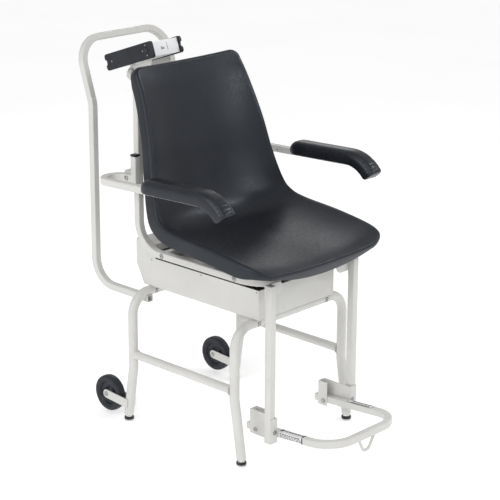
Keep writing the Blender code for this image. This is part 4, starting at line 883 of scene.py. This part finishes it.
def footrest_label(side_name, side, faces):
    """A film label on the arm: white ground, rows of generic bars and a dark end band."""
    matrix = footrest_matrix(side, LABEL_START_Y)
    ground, ink = bmesh.new(), bmesh.new()

    def on_top(bm, start, end, low, high, lift=2 * FILM_THICK):
        box_mesh(bm, (low, start, HALF), (high, end, HALF + lift), matrix)

    def on_side(bm, start, end, low, high, lift=2 * FILM_THICK):
        box_mesh(bm, (HALF, start, low), (HALF + lift, end, high), matrix)

    wide = HALF - TUBE_CORNER_R * 0.5
    for face in faces:
        put = {"top": on_top, "side": on_side}[face]
        put(ground, 0, LABEL_LENGTH, -wide, wide, FILM_THICK)
        put(ink, LABEL_LENGTH - 0.0060, LABEL_LENGTH - 0.0015, -wide, wide)
        if face == "top":
            put(ink, 0.0010, 0.0100, -wide * 0.8, wide * 0.8)
            ink_rows(ink, 3 + side, [(0.0, 0.0068)], LABEL_LENGTH, put)
        else:
            ink_rows(ink, 11, [(0.0040, 0.0030), (-0.0002, 0.0018), (-0.0040, 0.0018)], LABEL_LENGTH, put)
    name = side_name + "_footrest_label"
    light, dark = (FILM, None), (INK_AND_SHADE, "black_plastic")
    if side > 0:  # this label is printed white on black
        light, dark = dark, light
    trim(finish_mesh(name, ground, light[0]), "footrest_loop")
    trim(finish_mesh(name + "_bars", ink, dark[0]), "footrest_loop")


def build_footrest():
    rear_z = footrest_z(FOOTREST_REAR_Y)
    front_z = footrest_z(FOOTREST_FRONT_Y)
    path = route([
        ((-FOOTREST_X, FOOTREST_REAR_Y, rear_z), 0),
        ((-FOOTREST_X, FOOTREST_FRONT_Y, front_z), FOOTREST_BEND_R),
        ((FOOTREST_X, FOOTREST_FRONT_Y, front_z), FOOTREST_BEND_R),
        ((FOOTREST_X, FOOTREST_REAR_Y, rear_z), 0),
    ])
    bore = (OPEN_END[0], 0.012)
    stand_for(sweep("footrest_tube", square_section(), path, (1, 0, 0), WHITE, bore=bore), "footrest_loop")
    top_z = front_z - HALF + 0.0010
    rod_path = route([
        ((-0.0320, FOOTREST_FRONT_Y, top_z), 0),
        ((-0.0130, FOOTREST_FRONT_Y, PULL_LOW_Z), 0.012),
        ((0.0080, FOOTREST_FRONT_Y, PULL_LOW_Z), 0.012),
        ((0.0300, FOOTREST_FRONT_Y, top_z), 0),
    ])
    rod = sweep("pull_rod", round_section(PULL_ROD_R, 20), rod_path, (0, 1, 0), WHITE, LEVEL_ENDS)
    stand_for(rod, "pull_loop")
    footrest_label("left", -1, ("top", "side"))
    footrest_label("right", 1, ("top",))
    for side_name, side in SIDES.items():
        refined(side_name + "_footrest_post", WHITE, 0.0008)
        refined(side_name + "_footrest_bracket", WHITE, 0.0010)
        low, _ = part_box(side_name + "_footrest_bracket")
        spot = (side * 0.1520, low.y + 0.0002, 0.0940)
        button_head(side_name + "_bracket_screw", spot, (0, -1, 0), 0.0042, side_name + "_footrest_bracket")
        outer = FOOTREST_X + HALF + GAP + BRACKET_SHEET
        inner = FOOTREST_X - HALF - GAP - BRACKET_SHEET
        pivot_bolt(side_name + "_footrest_pivot", side, outer, inner, FOOTREST_PIVOT, 0.0056)


def pivot_bolt(node, side, outer, inner, pivot, head):
    """A bolt along X: domed head with a hexagonal recess outside, hexagonal nut inside."""
    length = outer - inner
    tall = head * 0.5
    profile = [
        (-tall * 0.45, 0), (-tall * 0.50, head * 0.42, 6), (-tall * 1.00, head * 0.46, 6),
        (-tall * 1.02, head * 0.60), (-tall * 0.88, head * 0.82), (-tall * 0.55, head * 0.98),
        (-tall * 0.30, head), (-tall * 0.28, head * 1.18), (-GAP, head * 1.18), (-GAP, 0.0040),
        (length + GAP, 0.0040), (length + GAP, head * 1.10, 6),
        (length + 0.0042, head * 1.10, 6), (length + 0.0046, 0.0040), (length + 0.0050, 0.0036),
        (length + 0.0050, 0),
    ]
    stand_for(turned(node + "_bolt", profile, (side * outer, *pivot), (-side, 0, 0), ZINC, 36, 40), node)


# ---- wheels
def wheel(side_name, side):
    """Dished hub with raised rings, and a crowned tyre."""
    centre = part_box(side_name + "_wheel_hub")
    centre = (centre[0] + centre[1]) / 2
    half = 0.0125
    hub_r = 0.0360
    tyre_r = 0.0500
    face = [(-half, 0.0045), (-half, 0.0135), (-half + 0.0055, 0.0165), (-half + 0.0076, 0.0225)]
    face += [(-half + 0.0076, 0.0292), (-half + 0.0022, 0.0322), (-half + 0.0014, hub_r - 0.0004)]
    back = [(-along, radius) for along, radius in reversed(face)]
    hub = turned(side_name + "_hub", rounded(face + back, 0.0009, 3), centre, (1, 0, 0), PLASTIC, 72)
    stand_for(hub, side_name + "_wheel_hub")
    tyre = [(-half + 0.0022, hub_r), (-half + 0.0002, hub_r + 0.0028), (-half, tyre_r - 0.0060)]
    for i in range(13):
        turn = pi * i / 12
        tyre.append((-(half - 0.0010) * cos(turn), tyre_r - 0.0042 + 0.0042 * sin(turn) ** 0.6))
    tyre += [(half, tyre_r - 0.0060), (half - 0.0002, hub_r + 0.0028), (half - 0.0022, hub_r)]
    stand_for(turned(side_name + "_tread", tyre, centre, (1, 0, 0), TYRE, 72), side_name + "_tyre")
    reach = 0.0160
    at = centre.x * side
    pivot_bolt(side_name + "_axle_bolt", side, at + reach, at - reach, centre.yz, 0.0060)
    for place in ("inner", "outer"):
        refined(side_name + "_" + place + "_wheel_bar", WHITE, 0.0007)


# ---- arms
def arm_z(y):
    return ARM_Z_AT_ORIGIN - ARM_RISE * y


def droop_end(side, extra=0.0):
    """End of the drooping front run."""
    along = ARM_DROOP_RUN + extra
    y = ARM_DROOP_Y - along * cos(ARM_DROOP_ANGLE)
    return (side * ARM_OUT_X, y, arm_z(ARM_DROOP_Y) - along * sin(ARM_DROOP_ANGLE))


def arm_tube(side_name, side):
    """The bent tube and its stub post."""
    bend = (ARM_OUT_X - ARM_IN_X) / 2 - 0.0002
    rear = ARM_REAR_Y - HALF
    path = route([
        (droop_end(side), 0),
        ((side * ARM_OUT_X, ARM_DROOP_Y, arm_z(ARM_DROOP_Y)), ARM_DROOP_R),
        ((side * ARM_OUT_X, rear, arm_z(rear)), bend),
        ((side * ARM_IN_X, rear, arm_z(rear)), bend),
        ((side * ARM_IN_X, STUB_REAR_Y - 0.004, arm_z(STUB_REAR_Y)), 0),
    ])
    node = side_name + "_arm_tube"
    stand_for(sweep(node + "_bent", square_section(), path, (1, 0, 0), WHITE), node)
    stub_low = Vector((side * ARM_IN_X, (STUB_FRONT_Y + STUB_REAR_Y) / 2, 0.6780))
    stub_high = stub_low + Vector((0, 0, 0.0700))
    stub = sweep(side_name + "_stub_post", square_section(), [stub_low, stub_high], (1, 0, 0), WHITE)
    trim(stub, node)
    spot = (side * (ARM_OUT_X - HALF + 0.0002), 0.1150, arm_z(0.1150))
    button_head(side_name + "_pad_screw", spot, (-side, 0, 0), 0.0026, node)
    refined(side_name + "_arm_cap", PLASTIC, 0.0008)
    refined(side_name + "_arm_bracket", WHITE, 0.0010)
    hinge_plate = 0.004
    inner = ARM_IN_X - HALF - GAP - hinge_plate
    pivot_bolt(side_name + "_arm_pivot", side, ARM_IN_X + HALF, inner, ARM_PIVOT, 0.0058)


def pad_section(half_x, low, high):
    """A soft box: flat underside with rounded edges, upright sides and a domed top."""
    points = []
    for i in range(25):
        turn = pi * i / 24
        across = copysign(abs(cos(turn)) ** 0.55, cos(turn))
        points.append((across * half_x, low + (high - low) * (0.42 + 0.58 * sin(turn) ** 0.85)))
    corner = 0.0030
    for sx in (-1, 1):
        for i in range(5):
            turn = radians(90 * i / 4)
            a, b = (sin(turn), cos(turn)) if sx < 0 else (cos(turn), sin(turn))
            points.append((sx * (half_x - corner + corner * b), low + corner - corner * a))
    return points


def pad_creases(travelled, whole):
    """Shallow folds in the foam where the pad bends down."""
    depth = 0.0
    for back, wide, deep in ((0.012, 0.0016, 0.0009), (0.021, 0.0022, 0.0006), (0.034, 0.0030, 0.0008)):
        depth += deep * exp(-(((whole - travelled) - back) / wide) ** 2)
    return depth


def arm_pad(side_name, side):
    """A foam pad over the front of the arm, domed behind and cut off square at the drooping end."""
    corners = [
        ((side * ARM_OUT_X, PAD_REAR_Y, arm_z(PAD_REAR_Y)), 0),
        ((side * ARM_OUT_X, ARM_DROOP_Y, arm_z(ARM_DROOP_Y)), ARM_DROOP_R),
        (droop_end(side, PAD_END_GAP), 0),
    ]
    coarse = route(corners, radians(3))
    path = [coarse[0]]
    for one, two in zip(coarse, coarse[1:]):
        count = max(1, round((two - one).length / 0.0012))
        path += [one.lerp(two, i / count) for i in range(1, count + 1)]
    whole = sum((two - one).length for one, two in zip(path, path[1:]))
    dome, cut = 0.030, 0.0090
    bm = bmesh.new()
    rings = []
    travelled = 0.0
    for i, place in enumerate(path):
        if i:
            travelled += (place - path[i - 1]).length
        heading = (path[min(len(path) - 1, i + 1)] - path[max(0, i - 1)]).normalized()
        up = Vector((0, heading.z, -heading.y))
        swell = (1 - (1 - min(1.0, max(travelled, 0.0002) / dome)) ** 2) ** 0.5
        left_over = min(1.0, (whole - travelled) / cut)
        shrink = 0.0055 * (1 - (1 - (1 - left_over) ** 2) ** 0.5)
        half_x = PAD_HALF_X * (0.55 + 0.45 * swell) - shrink
        low = -PAD_BELOW + shrink + 0.004 * (1 - swell)
        high = HALF + 0.001 + (PAD_ABOVE - HALF - 0.001) * swell - shrink - pad_creases(travelled, whole)
        ring = [place + Vector((a, 0, 0)) + up * b for a, b in pad_section(half_x, low, high)]
        rings.append([bm.verts.new(point) for point in ring])
    bridge(bm, rings)
    bm.faces.new(rings[0])
    bm.faces.new(rings[-1])
    made = finish_mesh(side_name + "_foam_pad", bm, FOAM, 50)
    stand_for(made, side_name + "_arm_pad")


# ---- display unit
CASE = Matrix.Translation((0, CASE_Y, CASE_Z)) @ Matrix.Rotation(-CASE_TILT, 4, "X")
KEYS = ("power_key", "zero_key", "unit_key", "hold_key")
SLEEVE_TOP = 0.0196  # of the sleeve, above the case's middle
GLASS_TOP = 0.0191
KEY_PITCH = 0.0230


def case_point(x, y, z):
    return CASE @ Vector((x, y, z))


def zero(bm, centre_x, centre_y, tall):
    """A seven-segment zero lying on the window, in the case's own axes."""
    wide, bar = tall * 0.5, tall * 0.09
    strokes = [(0, end * tall / 2, wide, bar) for end in (1, -1)]
    strokes += [(x * wide / 2, y * tall / 4, bar, tall / 2) for x in (-1, 1) for y in (1, -1)]
    for x, y, across, along in strokes:
        low = (centre_x - x - across / 2, centre_y - y - along / 2, GLASS_TOP)
        high = (centre_x - x + across / 2, centre_y - y + along / 2, GLASS_TOP + 0.0002)
        box_mesh(bm, low, high, CASE)


def end_cheek(side_name, front_notch):
    """A moulded end cheek: rounded corners, a notch behind and, on the far side, one in front too."""
    low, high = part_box(side_name + "_end_cheek")
    outline = []
    corner, notch, deep = 0.0075, 0.0075, 0.0060
    for end in (1, -1):
        for z_side in (-end, end):
            for i in range(9):
                turn = atan2(z_side, end) - pi / 4 + pi / 2 * i / 8
                outline.append((end * (CASE_HALF_Y - corner) + corner * cos(turn),
                                z_side * (CASE_HALF_Z - corner) + corner * sin(turn)))
            if z_side == -end and (end > 0 or front_notch):
                for i in range(9):
                    across = -end * notch * cos(pi * i / 8)
                    depth = deep * sin(pi * i / 8) ** 0.6
                    outline.append((end * (CASE_HALF_Y - depth), across))
    bm = bmesh.new()
    rings = [[bm.verts.new((x, y, z)) for y, z in outline] for x in (low.x, high.x)]
    bridge(bm, rings)
    bm.faces.new(rings[0])
    bm.faces.new(rings[1])
    bmesh.ops.transform(bm, matrix=CASE, verts=bm.verts)
    stand_for(soften(finish_mesh(side_name + "_cheek", bm, PLASTIC), 0.0016), side_name + "_end_cheek")


def indicator_details():
    """Connector and screws on the left cheek, marks on the front face, digits and key marks."""
    face = -CASE_HALF_X
    connector = [
        (0, 0), (0, 0.0078), (0.0012, 0.0078), (0.0016, 0.0070), (0.0016, 0.0056),
        (0.0004, 0.0054), (0.0004, 0.0020), (0.0012, 0.0016), (0.0012, 0),
    ]
    socket_y, socket_z = -0.0735, 0.0020
    spot = case_point(face, socket_y, socket_z)
    trim(turned("connector_socket", connector, spot, (-1, 0, 0), PLASTIC, 40), "left_end_cheek")
    pin = [(0, 0), (0, 0.0007), (0.0011, 0.0007), (0.0014, 0)]
    for i in range(4):
        turn = radians(45 + 90 * i)
        spot = case_point(face - 0.0003, socket_y + 0.0037 * cos(turn), socket_z + 0.0037 * sin(turn))
        made = turned("connector_pin_%d" % i, pin, spot, (-1, 0, 0), ZINC, 12)
        trim(made, "left_end_cheek")
    screws = ((socket_y, 0.0150), (socket_y, -0.0120), (-0.0590, socket_z), (0.0700, 0.0))
    for i, (y, z) in enumerate(screws):
        for side_name, side in SIDES.items():
            name = "%s_cheek_screw_%d" % (side_name, i)
            spot = case_point(side * (CASE_HALF_X - 0.0002), y, z)
            button_head(name, spot, (side, 0, 0), 0.0016, side_name + "_end_cheek", height=0.0012)
    marks = bmesh.new()
    front, lift = -0.08875, 0.0002
    for i in range(6):
        size = 0.0026 if i % 2 else 0.0016
        at = 0.0095 - 0.0034 * i
        box_mesh(marks, (0.0060, front - lift, at), (0.0060 + size, front, at + 0.0018), CASE)
        x = -0.0060 - 0.002 * i
        box_mesh(marks, (x, front - lift, -0.0050), (x + 0.0010, front, 0.0004 + 0.0006 * i), CASE)
    trim(finish_mesh("front_face_marks", marks, INK_AND_SHADE), "indicator_sleeve")
    digits = bmesh.new()
    for i in range(5):
        zero(digits, 0.0270 - 0.0135 * i, -0.0150, 0.0170)
    trim(finish_mesh("display_digits", digits, FILM), "display_window")
    for i, node in enumerate(KEYS):
        mark = bmesh.new()
        x = (i - 1.5) * KEY_PITCH
        top = SLEEVE_TOP + 0.0015
        box_mesh(mark, (x - 0.0030, 0.0552, top - 0.0002), (x + 0.0030, 0.0568, top + 0.0002), CASE)
        if i % 2:
            box_mesh(mark, (x - 0.0008, 0.0530, top - 0.0002), (x + 0.0008, 0.0590, top + 0.0002), CASE)
        trim(finish_mesh(node + "_mark", mark, FILM), node)


def tilt_knob():
    """A fluted clamp knob on its bolt."""
    low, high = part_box("tilt_knob")
    start = Vector((low.x, TILT_Y, TILT_Z))
    flutes, reach = 14, 0.0078
    bm = bmesh.new()
    rings = []
    sides = flutes * 8
    fluted = [(0.0, 0.0050, 0.0), (0.0004, 0.0062, 0.3), (0.0011, 0.0072, 0.8), (0.0019, reach, 1.0)]
    fluted += [(0.0063, reach, 1.0), (0.0074, 0.0070, 0.7), (0.0080, 0.0060, 0.0)]
    shank = [(0.0107, 0.0060, 0.0), (0.0110, 0.0056, 0.0), (0.0110, 0.0040, 0.0)]
    shank += [(high.x - low.x, 0.0040, 0.0)]
    for along, radius, depth in fluted + shank:  # depth is the flutes' share there
        ring = []
        for i in range(sides):
            turn = 2 * pi * i / sides
            cut = 0.0005 * depth * (0.5 + 0.5 * cos(turn * flutes)) ** 2
            spoke = Vector((0, cos(turn), sin(turn))) * (radius - cut)
            ring.append(bm.verts.new(start + Vector((along, 0, 0)) + spoke))
        rings.append(ring)
    bridge(bm, rings)
    bm.faces.new(rings[0])
    bm.faces.new(rings[-1])
    stand_for(finish_mesh("fluted_knob", bm, ZINC), "tilt_knob")


def build_indicator():
    refined("indicator_arm", WHITE, 0.0010)
    refined("indicator_yoke", WHITE, 0.0008)
    refined("indicator_sleeve", CASE_WHITE, 0.0008)
    end_cheek("left", front_notch=False)
    end_cheek("right", front_notch=True)
    refined("display_window", GLASS, 0.0004)
    refined("circuit_board", BOARD, 0.0002)
    for node in KEYS:
        refined(node, RUBBER, 0.0014)
    tilt_knob()
    indicator_details()


# ---- studio
def build_floor():
    """A pale studio floor that reaches past the view on every side."""
    bm = bmesh.new()
    bmesh.ops.create_circle(bm, cap_ends=True, radius=40.0, segments=64)
    bmesh.ops.translate(bm, verts=bm.verts, vec=(0, 0, -0.0004))
    made = Surface("studio_floor")
    tone = made.mask(1.5, 3.0)
    made.colour(made.blend(tone, (0.93, 0.93, 0.93), (0.95, 0.95, 0.95)))
    made.roughness(4.0, 3.0, 0.75, 0.90)
    made.shader.inputs["Emission Color"].default_value = (1.0, 1.0, 1.0, 1.0)
    made.shader.inputs["Emission Strength"].default_value = 0.30
    finish_mesh("studio_floor", bm, made.material)


def area_light(name, place, aim, size, power):
    light = bpy.data.lights.new(name, "AREA")
    light.shape = "RECTANGLE"
    light.size, light.size_y = size
    light.energy = power
    made = bpy.data.objects.new(name, light)
    made.location = place
    made.rotation_euler = (Vector(aim) - Vector(place)).to_track_quat("-Z", "Y").to_euler()
    bpy.context.scene.collection.objects.link(made)


def build_lights():
    """An even white sky, a soft key from the upper left, and softboxes that shine on the dark plastic."""
    world = bpy.data.worlds.new("studio")
    world.use_nodes = True
    world.node_tree.nodes["Background"].inputs["Color"].default_value = (1.0, 1.0, 1.0, 1.0)
    world.node_tree.nodes["Background"].inputs["Strength"].default_value = 0.56
    bpy.context.scene.world = world
    key = bpy.data.lights.new("key", "SUN")
    key.energy = 0.55
    key.angle = radians(50)
    made = bpy.data.objects.new("key", key)
    made.rotation_euler = Vector((0.62, 0.30, -0.90)).to_track_quat("-Z", "Y").to_euler()
    bpy.context.scene.collection.objects.link(made)
    seat = (0, 0.05, 0.70)
    area_light("left_softbox", (-2.6, 0.4, 1.5), seat, (1.0, 1.6), 18)
    area_light("front_softbox", (1.0, -2.7, 1.90), seat, (0.6, 0.8), 14)
    area_light("right_softbox", (2.1, -1.3, 2.45), seat, (0.45, 0.45), 12)
    area_light("rear_softbox", (2.1, 1.8, 1.85), seat, (0.9, 0.7), 4)
    area_light("crest_softbox", (-2.5, -2.2, 1.85), seat, (0.3, 0.3), 12)


def build_camera():
    back = Vector((sin(CAMERA_AZIMUTH) * cos(CAMERA_ELEVATION),
                   -cos(CAMERA_AZIMUTH) * cos(CAMERA_ELEVATION),
                   sin(CAMERA_ELEVATION)))
    right = Vector((0, 0, 1)).cross(back).normalized()
    up = back.cross(right)
    level = Matrix((right, up, back)).transposed().to_4x4()
    camera = bpy.data.cameras.new("camera")
    camera.lens = CAMERA_LENS
    camera.sensor_width = 36.0
    made = bpy.data.objects.new("camera", camera)
    made.matrix_world = Matrix.Translation(CAMERA_PLACE) @ level @ Matrix.Rotation(CAMERA_ROLL, 4, "Z")
    bpy.context.scene.collection.objects.link(made)
    bpy.context.scene.camera = made
    bpy.context.scene.view_settings.view_transform = "Standard"


# ---- the whole scene
build_camera()
build_lights()
build_floor()
build_legs()
build_base()
build_seat()
push_handle()
build_footrest()
for wheel_side, wheel_sign in SIDES.items():
    wheel(wheel_side, wheel_sign)
for arm_side, arm_sign in SIDES.items():
    arm_tube(arm_side, arm_sign)
    arm_pad(arm_side, arm_sign)
build_indicator()
